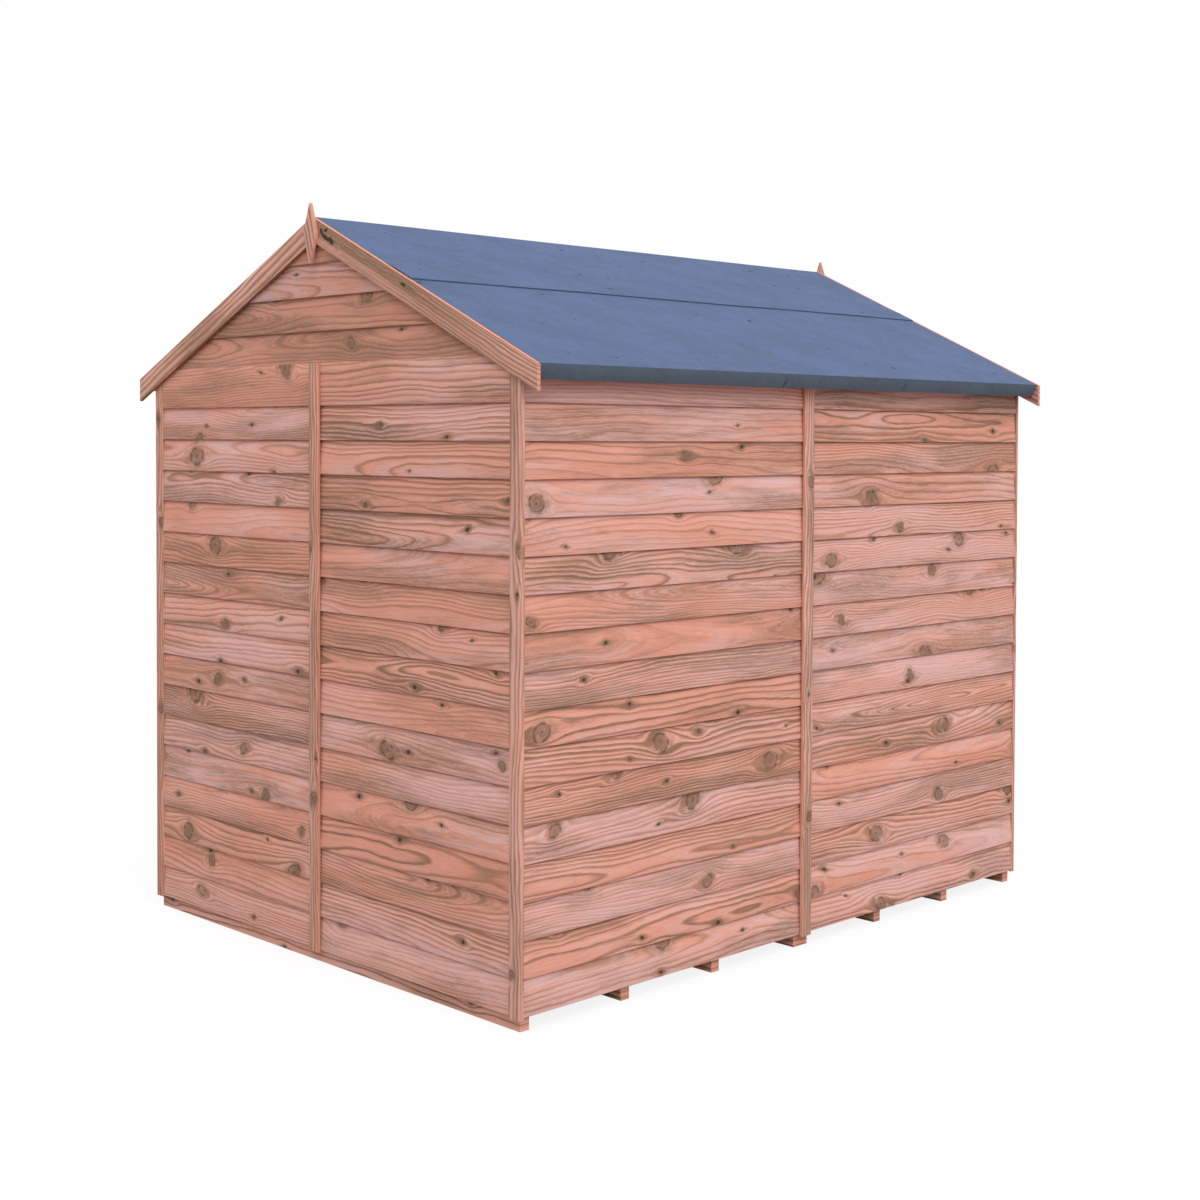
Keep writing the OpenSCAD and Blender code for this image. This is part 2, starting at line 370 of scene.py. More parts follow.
@dataclass(frozen=True)
class KnotKind:
    """Knots of one kind, at most one in each stretch of a board."""

    stretch: float
    size: Span  # radius
    share: float  # of the stretches that have one
    clear: float  # how far the rings keep off it, in its own radii
    shift: float = 0.0  # sets its places apart from those of another kind
    nothing: float = 0.00001  # radius in a stretch that has none

    def spread(self, board: Board, width: float) -> tuple[KnotField, Val]:
        """Finds the knot of a stretch.

        Args:
            board: The board.
            width: The board's width.

        Returns:
            The knot's field and its own random number.
        """
        run = board.u / self.stretch + board.seed * 3.17 + self.shift
        number = run.floor()
        ahead, aside, size = board.net.dice(number * 1.37 + board.seed + self.shift)
        present, lean, lot = board.net.dice(number * 2.11 + board.seed + self.shift)
        radius = self.size.at(size) * (present > 1 - self.share) + self.nothing
        du = (run - number - 0.3 - 0.4 * ahead) * self.stretch
        dv = board.v - aside * width + du * (lean - 0.5) * 0.5
        return KnotField.about(du, dv, radius, 0.45 + 0.6 * lot, self.clear, board.bent), lot


class Knots(NamedTuple):
    """A board's small and large knots with their own numbers, its marked ones, and the push of all."""

    small: KnotField
    small_lot: Val
    large: KnotField
    large_lot: Val
    marked: Optional[Val]
    push: Val


class Rings(NamedTuple):
    """A board's growth rings: their running count, the share of a ring, its dark line, and the fibres."""

    phase: Val
    part: Val
    band: Val
    fibre: Val
    ripple: Val


@dataclass(frozen=True)
class Stain:
    """A dark stain on the first side of a board, which fades along it, while the other side stays clean."""

    reach: float
    width: float

    def lay(self, board: Board, ripple: Val) -> tuple[Val, Val]:
        """Lays the stain.

        Args:
            board: The board.
            ripple: Noise that bends the stain's edge.

        Returns:
            How dark the stain is, and how much of the rings' lines stays.
        """
        fade = board.u.step(self.reach, self.reach * 0.2)
        clean = (board.v + (ripple - 0.5) * 0.03).step(self.width * 0.7, self.width * 1.1)
        return fade * (1 - clean) * 1.3, 1 - 0.85 * clean * fade ** 5


@dataclass(frozen=True)
class GrainedWood:
    """Softwood with growth rings that flow round its knots, and a tone of its own for each board.

    A board's own numbers choose where its heart lies, so that one face shows loops and the next straight
    lines. Each ring starts pale, warms, and ends in a dark line with a sharp edge.
    """

    name: str
    pale: Colour = srgb(223, 177, 172)
    mid: Colour = srgb(225, 157, 136)
    deep: Colour = srgb(209, 141, 117)
    olive: Colour = srgb(126, 97, 75)
    russet: Colour = srgb(198, 126, 98)
    knot: Colour = srgb(72, 52, 36)
    # Painted highlight on edges, painted shade on edges turned from the light, and painted shade just under
    # each lap
    lit_edge: Colour = srgb(222, 142, 116)
    painted_edge_shade: Colour = srgb(176, 108, 72)
    shade: Colour = srgb(126, 88, 68)
    ring: Span = Span(0.008, 0.026)  # spacing of the rings
    heart: Span = Span(-0.05, 0.16)  # place of the tree's heart across the board
    depth: Span = Span(0.0, 0.06)  # depth of the heart under the face
    sway: float = 0.16  # how far the heart rises and falls along the board
    ripple: float = 0.05  # how far the rings wander across it
    stroke: Span = Span(0.0032, 0.0135)  # width of the dark lines
    blur: float = 0.1  # share of a ring over which a dark line ends
    unrest: float = 1.5  # how uneven the rings are
    figure: Span = Span(0.45, 1.12)  # strength of the dark lines
    even: float = 0.6  # how alike they are
    wash: float = 0.3  # strength of the olive clouds
    rust: float = 0.8  # how far lines in pale wood turn russet
    stain: Optional[Stain] = None
    # Where the painted shade under the board above starts
    lap: float = 0.1015  # where the board above covers the face
    width: float = 0.118
    roughness: float = 0.72
    small_knots: KnotKind = KnotKind(0.36, Span(0.0035, 0.0075), 0.5, 2.2)
    large_knots: KnotKind = KnotKind(0.66, Span(0.013, 0.029), 0.55, 1.25, 7.7)
    marks: tuple[Knot, ...] = ()

    def material(self) -> Material:
        """Builds the wood.

        Returns:
            The material.
        """
        net = Net.finish(self.name)
        board = Board(net)
        knots = self._knots(board)
        rings = self._rings(board, knots.push)
        cloud = net.noise((board.u * 1.7, board.v * 8, board.seed * 2.3))
        figured = self._figured(board, rings, cloud)
        knotted, core = self._knotted(board, knots, figured)
        height = 0.5 * rings.fibre + 0.4 * rings.band - 0.3 * core
        return net.surface(
            Base_Color=self._edged(board, cloud, knotted),
            Roughness=self.roughness - 0.12 * rings.band + 0.12 * (rings.fibre - 0.5),
            Normal=net.bump(height, 0.3, 0.0012),
            Specular_IOR_Level=0.25,
        )

    def _knots(self, board: Board) -> Knots:
        """Finds the board's knots.

        Args:
            board: The board.

        Returns:
            The knots.
        """
        small, small_lot = self.small_knots.spread(board, self.width)
        large, large_lot = self.large_knots.spread(board, self.width)
        marks = [mark.field(board) for mark in self.marks]
        marked = reduce(Val.least, (mark.ratio for mark in marks)) if marks else None
        push = sum((mark.push for mark in marks), small.push + large.push)
        return Knots(small, small_lot, large, large_lot, marked, push)

    def _rings(self, board: Board, push: Val) -> Rings:
        """Lays the growth rings.

        Args:
            board: The board.
            push: How far its knots move them.

        Returns:
            The rings.
        """
        net, seed = board.net, board.seed
        drift = net.noise((board.u * 1.1, seed), 1.0)
        ripple = board.noise(1.9, 7, 4.0, 0.52)
        wander = (drift - 0.5) * 0.08 + (ripple - 0.5) * self.ripple
        across = board.v - push - self.heart.at(board.heart) + wander
        taper = net.noise((board.u * 0.95 + board.shift * 40, seed * 1.7), 1.0)
        under = self.depth.at(board.depth) + (taper - 0.5) * self.sway
        radius = (across * across + under * under).root()

        fibre = board.noise(13, 380, 3.0, 0.6)
        spacing = self.ring.at(board.ring * board.ring)
        years = radius / spacing
        phase = years + net.noise((years * 0.4, seed * 7), 1.0) * self.unrest + (fibre - 0.5) * 0.3
        count = phase.floor()
        part = phase - count
        strong, wide, _ = net.dice(count * 0.317 + seed)
        steep = (across.size() / radius).most(0.3)
        bold = self.stroke.at(0.6 * board.figure + 0.4 * wide)
        width = (bold * steep / spacing).least(0.7)
        line = part.step(1 - width * 1.2, 1 - width * 0.35) * (1 - part.step(1 - self.blur, 1.0))
        return Rings(phase, part, line * (self.even + (1 - self.even) * strong), fibre, ripple)

    def _figured(self, board: Board, rings: Rings, cloud: Val) -> Val:
        """Colours the wood between its knots.

        Args:
            board: The board.
            rings: Its growth rings.
            cloud: Slow noise along it.

        Returns:
            The colour.
        """
        net, fibre = board.net, rings.fibre
        smoke = net.noise((board.u * 1.6 + 3.1, board.v * 11, board.seed * 3.1), 3.0, 0.6)
        patch = (smoke + (board.shift - 0.5) * 0.13).step(0.45, 0.67)
        strength = self.figure.at(board.figure)
        if self.stain:
            dark, kept = self.stain.lay(board, rings.ripple)
            patch = patch.most(dark)
            strength = strength * kept
        strength = strength * (0.8 + 0.2 * patch) * (0.75 + 0.5 * fibre)
        tone = 0.02 + board.tone * 0.6 + (cloud - 0.5) * 1.5 + (rings.part - 0.35) * 0.4
        tone = tone.most(0.0).least(1.0)
        thin = (rings.phase * 3.0 + fibre).fraction().step(0.35, 0.9)
        rusty = ((0.5 - tone) * 2.4 - patch * 0.6).most(0.0).least(self.rust)
        ink = net.mix(rusty, self.olive, self.russet)
        base = net.ramp(tone, {0.0: self.pale, 0.45: self.mid, 1.0: self.deep})
        clouded = base.coat(self.olive, patch * (self.wash + 0.35 * thin) * (0.4 + 1.2 * fibre))
        lined = clouded.coat(ink, (rings.band * strength).least(0.95))
        return lined.coat(self.olive, fibre.step(0.48, 0.78) * 0.3 + thin * 0.1)

    def _knotted(self, board: Board, knots: Knots, colour: Val) -> tuple[Val, Val]:
        """Colours the knots.

        Args:
            board: The board.
            knots: Its knots.
            colour: The wood between them.

        Returns:
            The colour, and where the dark small knots are.
        """
        large, small = knots.large, knots.small
        broken = board.noise(45, 60, 1.0).step(0.36, 0.6)
        whorl = (large.ratio * 14 + board.bent * 16).sine() * 0.5 + 0.5
        halo = large.ratio.step(2.4, 0.95) * (0.2 + 0.25 * broken) + large.trail.step(1.2, 0.4) * 0.2 * broken
        eye = large.ratio.step(1.2, 0.8) * (0.2 + 0.35 * knots.large_lot + 0.4 * whorl)
        rim = large.ratio.step(1.22, 1.04) * (1 - large.ratio.step(1.0, 0.75)) * (0.15 + 0.5 * broken)
        pith = large.ratio.step(0.34, 0.08) * 0.35
        ruff = small.ratio.step(3.4, 0.9) * (0.3 + 0.3 * broken) + small.trail.step(1.7, 0.5) * 0.45
        hollow = (knots.small_lot > 0.62) * small.ratio.step(0.66, 0.4) * 0.8
        core = small.ratio.step(1.15, 0.7) * (1 - hollow)
        if knots.marked is not None:
            core = core.most(knots.marked.step(1.2, 0.75))
        eyed = colour.coat(self.olive, halo.least(0.5)).coat(self.olive, eye).coat(self.knot, rim + pith)
        return eyed.coat(self.olive, ruff.least(0.85)).coat(self.knot, core * 0.95), core

    def _edged(self, board: Board, cloud: Val, colour: Val) -> Val:
        """Paints highlights on the edges, painted shade on edges in the shade, and the painted shade of the
        board above.

        Args:
            board: The board.
            cloud: Slow noise along it.
            colour: The wood.

        Returns:
            The colour.
        """
        edge_light_and_wear = board.net.data(EDGE_LIGHT_AND_WEAR)
        # Painted shade on edges in the shade, painted highlight on the others, then painted shade under the
        # board above
        shaded = colour.coat(self.painted_edge_shade, (0 - edge_light_and_wear).most(0.0))
        edged = shaded.coat(self.lit_edge, (edge_light_and_wear * (0.45 + 0.6 * cloud)).most(0.0).least(1.0))
        past = board.v.step(self.lap + 0.018, self.lap + 0.022)
        painted_lap_shade = board.v.step(self.lap - 0.004, self.lap + 0.001) * (1 - past)
        return edged.coat(self.shade, painted_lap_shade * 0.2)


@dataclass(frozen=True)
class SawnTimber:
    """Bare sawn softwood of the hidden frame, with its grain along one axis."""

    name: str
    axis: Axis
    pale: Colour = srgb(228, 166, 134)
    deep: Colour = srgb(200, 126, 92)
    knot: Colour = srgb(110, 74, 52)

    def material(self) -> Material:
        """Builds the timber.

        Returns:
            The material.
        """
        net = Net.finish(self.name)
        place = net.split(net.add("ShaderNodeTexCoord", output="Object"))
        long = place[self.axis.value]
        first, second = (place[axis.value] for axis in Axis if axis is not self.axis)
        wave = net.noise((long * 0.8, first * 5, second * 5))
        rings = ((first + second * 0.6) * 85 + wave * 5).fraction()
        late = rings.step(0.45, 0.92) * (1 - rings.step(0.95, 1.0))
        saw = net.noise((long * 160, first * 9, second * 9))
        fibre = net.noise((long * 7, first * 280, second * 280), 3.0)
        spot = net.noise((long * 5, first * 22, second * 22), 1.0).step(0.74, 0.8)
        wood = net.mix(late * 0.6 + 0.3 * (fibre - 0.5), self.pale, self.deep)
        return net.surface(
            Base_Color=wood.coat(self.knot, spot * 0.8),
            Roughness=0.78 + 0.15 * (fibre - 0.5),
            Normal=net.bump(0.6 * fibre + 0.4 * saw, 0.3, 0.001),
            Specular_IOR_Level=0.2,
        )


@dataclass(frozen=True)
class RoofingFelt:
    """Mineral-faced felt with soft clouds of tone, fine chips and a few dark flecks."""

    name: str
    light: Colour
    dark: Colour
    fleck: Colour
    cut: Colour
    chip: float = 0.3
    fleck_cell: Point2 = (0.12, 0.12)
    fleck_share: float = 0.5
    fleck_shape: Point2 = (0.5, 1.1)

    def material(self) -> Material:
        """Builds the felt.

        Returns:
            The material.
        """
        net = Net.finish(self.name)
        u, v = net.grain()
        seed = net.data(BOARD_NUMBER)
        along = u * 0.88 + v * 0.47
        across = v * 0.88 - u * 0.47
        cloud = net.noise((along * 4, across * 6, seed), 4.0, 0.6)
        streak = net.noise((along * 34, across * 62, seed * 2), 4.0, 0.65)
        chips = net.noise((u * 420, v * 420, seed), 2.0, 0.7)
        tone = (cloud * 0.6 + streak * 0.6 - 0.1).step(0.28, 0.72)
        base = net.mix(tone, self.dark, self.light)
        grit = base.coat(self.dark, self.chip * (1 - chips.step(0.3, 0.62)))
        flecked = grit.coat(self.fleck, self._flecks(net, u, v, seed))
        return net.surface(
            Base_Color=flecked.coat(self.cut, net.data(EDGE_LIGHT_AND_WEAR)),
            Roughness=0.86 - 0.1 * (chips - 0.5),
            Normal=net.bump(chips + 0.8 * streak, 0.25, 0.0008),
            Specular_IOR_Level=0.2,
        )

    def _flecks(self, net: Net, u: Val, v: Val, seed: Val) -> Val:
        """Scatters ragged flecks, at most one to a cell.

        Args:
            net: The felt's nodes.
            u: Metres along the felt.
            v: Metres across it.
            seed: The sheet's own number.

        Returns:
            How dark a fleck is.
        """
        long, high = self.fleck_cell
        sockets = {"Vector": net.join(u / long, v / high + seed), "Scale": 1.0}
        cell = net.add("ShaderNodeTexVoronoi", {"voronoi_dimensions": "2D"}, sockets)
        spot_u, spot_v, _ = net.split(cell.beside("Position"))
        size, present, depth = net.split(cell.beside("Color"))
        dv = v - (spot_v - seed) * high
        du = u - spot_u * long + dv * 0.5
        ragged = net.noise((u * 130, v * 130), 2.0, 0.7) - 0.5
        flat, tall = self.fleck_shape
        far = (du * du * flat + dv * dv * tall).root() / (0.0032 + 0.0075 * size * size * size) + ragged * 2.4
        return far.step(1.05, 0.6) * (present > 1 - self.fleck_share) * (0.3 + 0.6 * depth)


@dataclass(frozen=True)
class BlackEnamel:
    """Baked black enamel on steel, rubbed at its edges."""

    name: str
    base: Colour = srgb(38, 38, 40)
    rubbed: Colour = srgb(92, 88, 84)

    def material(self) -> Material:
        """Builds the enamel.

        Returns:
            The material.
        """
        net = Net.finish(self.name)
        u, v = net.grain()
        skin = net.noise((u * 210, v * 210))
        wear = net.noise((u * 30, v * 30), 4.0, 0.65)
        rub = (net.data(EDGE_LIGHT_AND_WEAR) * wear.step(0.42, 0.6)).least(1.0)
        return net.surface(
            Base_Color=net.mix(rub, self.base, self.rubbed),
            Roughness=0.42 + 0.2 * (wear - 0.5),
            Normal=net.bump(skin, 0.2, 0.0004),
        )


@dataclass
class Section:
    """A board's outline across its grain, as (across, out) points in metres.

    The first point starts the outer face, which runs up from it. Each has the edge light and wear of the side
    after it: on wood a share of painted highlight, and below 0 of painted shade.
    """

    points: list[Point2] = field(default_factory=list)
    edge_light_and_wear: list[float] = field(default_factory=list)

    @classmethod
    def rounded(
        cls, corners: Sequence[Point2], radii: Sequence[float], sides: Sequence[float], rims: Sequence[float]
    ) -> "Section":
        """Rounds a convex outline's corners off.

        Args:
            corners: The corners in order.
            radii: How far each rounding reaches along its sides.
            sides: The painted highlight of the side after each corner, and below 0 its painted shade.
            rims: The painted highlight of each rounding.

        Returns:
            The section.
        """
        section = cls()
        for i, (corner, radius, side, rim) in enumerate(zip(corners, radii, sides, rims)):
            here = Vector(corner)
            back = Vector(corners[i - 1]) - here
            ahead = Vector(corners[(i + 1) % len(corners)]) - here
            start = here + back.normalized() * min(radius, back.length * ROUNDING_SHARE)
            stop = here + ahead.normalized() * min(radius, ahead.length * ROUNDING_SHARE)
            middle = (start + stop) * 0.25 + here * 0.5
            for place, edge_light_and_wear in ((start, rim), (middle, rim), (stop, side)):
                section.points.append((place.x, place.y))
                section.edge_light_and_wear.append(edge_light_and_wear)
        return section

    @classmethod
    def plain(
        cls, width: float, thickness: float, radius: float, near: float = 0.0, far: float = 0.0
    ) -> "Section":
        """A rectangle with its outer face first.

        Args:
            width: Across the grain.
            thickness: Out from the back.
            radius: How far its edges are rounded.
            near: The painted highlight on the narrow side that the outer face starts from.
            far: The painted highlight on the other narrow side, and below 0 the painted shade on one in the
                shade.

        Returns:
            The section.
        """
        corners = [(0, thickness), (width, thickness), (width, 0), (0, 0)]
        rims = [near * RIM_HIGHLIGHT, max(far, 0.0) * RIM_HIGHLIGHT]
        return cls.rounded(corners, [radius] * 4, [0.0, far, 0.0, near], [*rims, *reversed(rims)])

    def girth(self) -> list[float]:
        """Metres round the outline to each point, and once round."""
        ahead = [*self.points[1:], self.points[0]]
        return list(accumulate(map(math.dist, self.points, ahead), initial=0.0))


@dataclass(frozen=True)
class Place:
    """Where a board lies: a corner of its back, and the ways along, across and out of it."""

    corner: Vector
    along: Vector
    across: Vector
    out: Vector

    def at(self, along: float, across: float, out: float) -> Vector:
        """A point of the board in the shed's frame."""
        return self.corner + self.along * along + self.across * across + self.out * out

    def shifted(self, along: float = 0.0, across: float = 0.0, out: float = 0.0) -> "Place":
        """The same place with its corner moved."""
        return replace(self, corner=self.at(along, across, out))


class Face(NamedTuple):
    """A face: its points' numbers, its grain map, its board's own number and its edge light and wear."""

    corners: tuple[int, ...]
    grain: list[Point2]
    board: float
    edge_light_and_wear: float


class Sketch:
    """Gathers boards and plates into one mesh with its grain map, board numbers, and edge light and wear."""

    board_numbers = 60.0  # a board's own number is less than this
    grain_run = 20.0  # a board starts along the grain map before this
    bow_waves = 3.1
    bow_across = 0.6
    end_lean = 0.4  # how far the grain runs on over a board's end
    # How much edge mark a board's ends take: painted highlight on wood, the cut on felt, rubbing on enamel
    end_light_and_wear = 0.5
    plate_start = 0.04
    dome_rings = ((1.0, 0.0), (0.92, 0.6), (0.55, 1.0))  # shares of its radius and height
    dome_grain = 0.001

    def __init__(self, name: str, seed: int) -> None:
        """Starts an empty mesh.

        Args:
            name: The piece's name.
            seed: The start of its random numbers.
        """
        self.name = name
        self.dice = random.Random(seed)
        self.points: list[Vector] = []
        self.faces: list[Face] = []

    def _number(self) -> float:
        """A board's own number."""
        return self.dice.uniform(0, self.board_numbers)

    def _band(
        self, first: int, near: Sequence[Point2], far: Sequence[Point2], number: float, edge_light_and_wear: Sequence[float]
    ) -> None:
        """Joins a ring of points to the ring after it.

        Args:
            first: The number of the ring's first point.
            near: The grain map round the ring, back to where it starts.
            far: The grain map round the next ring.
            number: The board's own number.
            edge_light_and_wear: The edge light and wear of each face.
        """
        size = len(edge_light_and_wear)
        for i, wear in enumerate(edge_light_and_wear):
            here, ahead = first + i, first + (i + 1) % size
            grain = [near[i], near[i + 1], far[i + 1], far[i]]
            self.faces.append(Face((here, ahead, ahead + size, here + size), grain, number, wear))

    def _cap(self, first: int, grain: list[Point2], number: float, edge_light_and_wear: float) -> None:
        """Closes a ring of points with one face."""
        self.faces.append(Face(tuple(range(first, first + len(grain))), grain, number, edge_light_and_wear))

    def board(
        self,
        place: Place,
        section: Section,
        start: Cut,
        stop: Cut,
        steps: int,
        bow: float = 0.0,
        grain_from: float = 0.0,
        grain_at: Optional[float] = None,
    ) -> None:
        """Adds a board.

        Args:
            place: Where it lies.
            section: Its outline across the grain.
            start: Where it starts along its grain, which may depend on the place across it.
            stop: Where it stops.
            steps: Parts along its length.
            bow: How far it bows out of true, in metres.
            grain_from: Where its outer face starts across the grain map.
            grain_at: Where it starts along the grain map, by chance if not given.
        """
        number = self._number()
        shift = self.dice.uniform(0, self.grain_run) if grain_at is None else grain_at
        swing = self.dice.uniform(0, math.tau)
        girth = [grain_from + reach for reach in section.girth()]
        size = len(section.points)
        first = len(self.points)
        grains: list[list[Point2]] = []
        for step in range(steps + 1):
            share = step / steps
            run = []
            for across, out in section.points:
                ends = [cut(across) if callable(cut) else cut for cut in (start, stop)]
                along = ends[0] * (1 - share) + ends[1] * share
                wave = bow * math.sin(swing + along * self.bow_waves) * math.sin(math.pi * share)
                self.points.append(place.at(along, across + wave * self.bow_across, out + wave))
                run.append(along + shift)
            grains.append(list(zip([*run, run[0]], girth)))
        for step in range(steps):
            self._band(first + step * size, grains[step], grains[step + 1], number, section.edge_light_and_wear)
        for step in (0, steps):
            places = zip(grains[step], section.points)
            end = [(along + out * self.end_lean, across) for (along, _), (across, out) in places]
            self._cap(first + step * size, end, number, self.end_light_and_wear)

    def row(self, count: int, step: Vector, place: Place, *board: object) -> None:
        """Adds like boards side by side, each a step on from the one before."""
        for number in range(count):
            self.board(replace(place, corner=place.corner + step * number), *board)

    def plate(
        self,
        place: Place,
        outline: Sequence[Point2],
        thickness: float,
        chamfer: float,
        slant: float = 0.0,
        sawn: float = 0.0,
    ) -> None:
        """Adds a flat plate with chamfered edges.

        Args:
            place: Where it lies.
            outline: Its convex outline, as (along, across) points.
            thickness: Out from its back.
            chamfer: How far its edges are cut back.
            slant: How far its grain leans across for each metre along.
            sawn: The painted highlight on its sides.
        """
        number = self._number()
        shift = self.dice.uniform(0, self.grain_run)
        middle = sum((Vector(p) for p in outline), Vector((0, 0))) / len(outline)
        reach = max((Vector(p) - middle).length for p in outline)
        inner = [tuple(middle + (Vector(p) - middle) * (1 - chamfer / reach)) for p in outline]
        size = len(outline)
        first = len(self.points)
        layers = ((inner, 0), (outline, chamfer), (outline, thickness - chamfer), (inner, thickness))
        grains = []
        for shape, out in layers:
            self.points.extend(place.at(along, across, out) for along, across in shape)
            grains.append([(a + shift, b + a * slant + self.plate_start) for a, b in (*shape, shape[0])])
        # The chamfers take the full edge mark: painted highlight on wood, rubbing on enamel
        for layer, edge_light_and_wear in enumerate((1.0, sawn, 1.0)):
            self._band(first + layer * size, grains[layer], grains[layer + 1], number, [edge_light_and_wear] * size)
        for layer in (0, 3):
            self._cap(first + layer * size, grains[0][:-1], number, 0.0)

    def dome(self, centre: Vector, out: Vector, radius: float, height: float, sides: int = 10) -> None:
        """Adds a nail's or screw's head.

        Args:
            centre: The middle of its foot.
            out: The way it faces.
            radius: Its radius.
            height: Its height.
            sides: Sides round it.
        """
        turn = out.to_track_quat("Z", "Y").to_matrix()
        number = self._number()
        first = len(self.points)
        for share, rise in self.dome_rings:
            for angle in (math.tau * i / sides for i in range(sides)):
                flat = Vector((math.cos(angle), math.sin(angle), 0)) * radius * share
                self.points.append(centre + turn @ (flat + Z * rise * height))
        for ring, i in product(range(2), range(sides)):
            here, ahead = (first + ring * sides + j % sides for j in (i, i + 1))
            corners = (here, ahead, ahead + sides, here + sides)
            spot = (i * self.dome_grain, ring * self.dome_grain)
            self.faces.append(Face(corners, [spot] * 4, number, 1.0 - ring))
        for ring in (0, 2):
            self._cap(first + ring * sides, [(0.0, 0.0)] * sides, number, 0.0)

    def sheet(self, rows: Sequence[Sequence[Vector]], grain: Sequence[Sequence[Point2]], cut: int) -> None:
        """Adds a sheet from rows of points.

        Args:
            rows: The points, row by row.
            grain: The grain map at each point.
            cut: The column of faces that is its cut edge.
        """
        number = self._number()
        first = len(self.points)
        width = len(rows[0])
        for row in rows:
            self.points.extend(row)
        for r in range(len(rows) - 1):
            for c in range(width - 1):
                places = ((r, c), (r, c + 1), (r + 1, c + 1), (r + 1, c))
                corners = tuple(first + i * width + j for i, j in places)
                self.faces.append(Face(corners, [grain[i][j] for i, j in places], number, float(c == cut)))

    def build(self, finish: Material, slot: str, *nodes: str) -> None:
        """Makes the piece and sets it on the shed.

        Args:
            finish: Its material.
            slot: The record's material slot it takes after; not used.
            nodes: The solids it stands for.
        """
        mesh = bpy.data.meshes.new(self.name)
        mesh.from_pydata([tuple(p) for p in self.points], [], [face.corners for face in self.faces])
        layer = mesh.uv_layers.new(name=GRAIN_MAP)
        layer.data.foreach_set("uv", [part for face in self.faces for point in face.grain for part in point])
        numbers = [face.board for face in self.faces]
        for name, values in ((BOARD_NUMBER, numbers), (EDGE_LIGHT_AND_WEAR, [face.edge_light_and_wear for face in self.faces])):
            mesh.attributes.new(name, "FLOAT", "FACE").data.foreach_set("value", values)
        shell = bmesh.new()
        shell.from_mesh(mesh)
        bmesh.ops.recalc_face_normals(shell, faces=shell.faces)
        shell.to_mesh(mesh)
        shell.free()
        mesh.shade_smooth()
        mesh.set_sharp_from_angle(angle=SHARP_ANGLE)
        mesh.materials.append(finish)
        piece = bpy.data.objects.new(self.name, mesh)
        bpy.context.scene.collection.objects.link(piece)
        if nodes:
            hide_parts(*nodes)
        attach(piece, BODY)
        LOG.info("%s: %d faces for %s", self.name, len(self.faces), ", ".join(nodes) or "no node")


@dataclass(frozen=True)
class Box:
    """The box round one of the shed's solids."""

    low: Vector
    high: Vector

    @classmethod
    def of(cls, node: str) -> "Box":
        """The box of a solid by its name."""
        return cls(*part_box(node))

    @property
    def size(self) -> Vector:
        """Its length along each axis."""
        return self.high - self.low

    def inner(self, axis: Axis) -> float:
        """How far its nearer face is from the shed's middle."""
        return min(abs(self.low[axis.value]), abs(self.high[axis.value]))

    def outer(self, axis: Axis) -> float:
        """How far its other face is from the shed's middle."""
        return max(abs(self.low[axis.value]), abs(self.high[axis.value]))


@dataclass(frozen=True)
class RoofForm:
    """The roof's two slopes, as the solids have them."""

    ridge: float
    reach: float
    half_length: float
    pitch: float = math.radians(25)
    build: float = 0.015

    @classmethod
    def read(cls) -> "RoofForm":
        """Reads the ridge, the eaves and the ends off the felt's solid."""
        corner = Box.of("right_felt").high
        return cls(corner.z, corner.x, corner.y)

    @property
    def slope(self) -> float:
        """Length of a slope from the ridge to the eaves edge."""
        return self.reach / math.cos(self.pitch)

    def under(self, x: float) -> float:
        """Height of the roof boards' underside, a distance from the ridge."""
        return self.ridge - self.build / math.cos(self.pitch) - abs(x) * math.tan(self.pitch)

    def place(self, side: Side, y: float) -> Place:
        """Finds a place on the ridge, from which a slope runs down.

        Args:
            side: The slope.
            y: Metres along the ridge.

        Returns:
            The place, with its ways down the slope, into the roof, and along the ridge to the nearer end.
        """
        sin, cos = math.sin(self.pitch), math.cos(self.pitch)
        down = Vector((side.value * cos, 0, -sin))
        inward = Vector((-side.value * sin, 0, -cos))
        return Place(Vector((0, y, self.ridge)), down, inward, Y * math.copysign(1, y))


@dataclass(frozen=True)
class Courses:
    """The lapped boards' courses, the same on every wall."""

    bottom: float = 0.042
    cover: float = 0.1041
    lap: float = 0.014
    depth: float = 0.016
    foot: float = 0.008
    tip: float = 0.006
    back: float = 0.001
    whole: int = 16
    edge: float = 0.0018
    cut: float = 0.0001
    # Share of painted highlight on the boards' rounded edges
    wear: float = 0.15

    def section(self, cover: float) -> Section:
        """Outline of a leaning board.

        Args:
            cover: The height it shows.

        Returns:
            The section, from its lower outer edge.
        """
        lean = (self.depth - self.foot) / cover
        high = cover + self.lap
        top = self.depth - lean * high
        corners = [(0, self.depth), (high, top), (high, top - self.tip), (0, self.depth - self.foot)]
        return Section.rounded(corners, [self.edge] * 4, [0.0] * 4, [self.wear] * 4)

    def tight(self, cover: float) -> Section:
        """Outline of a leaning board whose lower edge stands tight on the board below.

        Args:
            cover: The height it shows.

        Returns:
            The section.
        """
        section = self.section(cover)
        section.points[:3] = [(0, self.depth - self.cut)] * 2 + [(self.cut, self.depth)]
        section.edge_light_and_wear[:3] = [0.0] * 3
        return section

    def upright(self, inner: float, outer: float, top_depth: float) -> Section:
        """Outline of the top board, cut to the roof or to the panel above.

        Args:
            inner: Its height at the back.
            outer: Its height at the face.
            top_depth: How far its face stands out at the top.

        Returns:
            The section.
        """
        corners = [(0, self.depth), (outer, top_depth), (inner, self.back), (0, self.depth - self.foot)]
        radii = [self.edge, self.cut, self.cut, self.edge]
        return Section.rounded(corners, radii, [0.0] * 4, [self.wear] * 4)


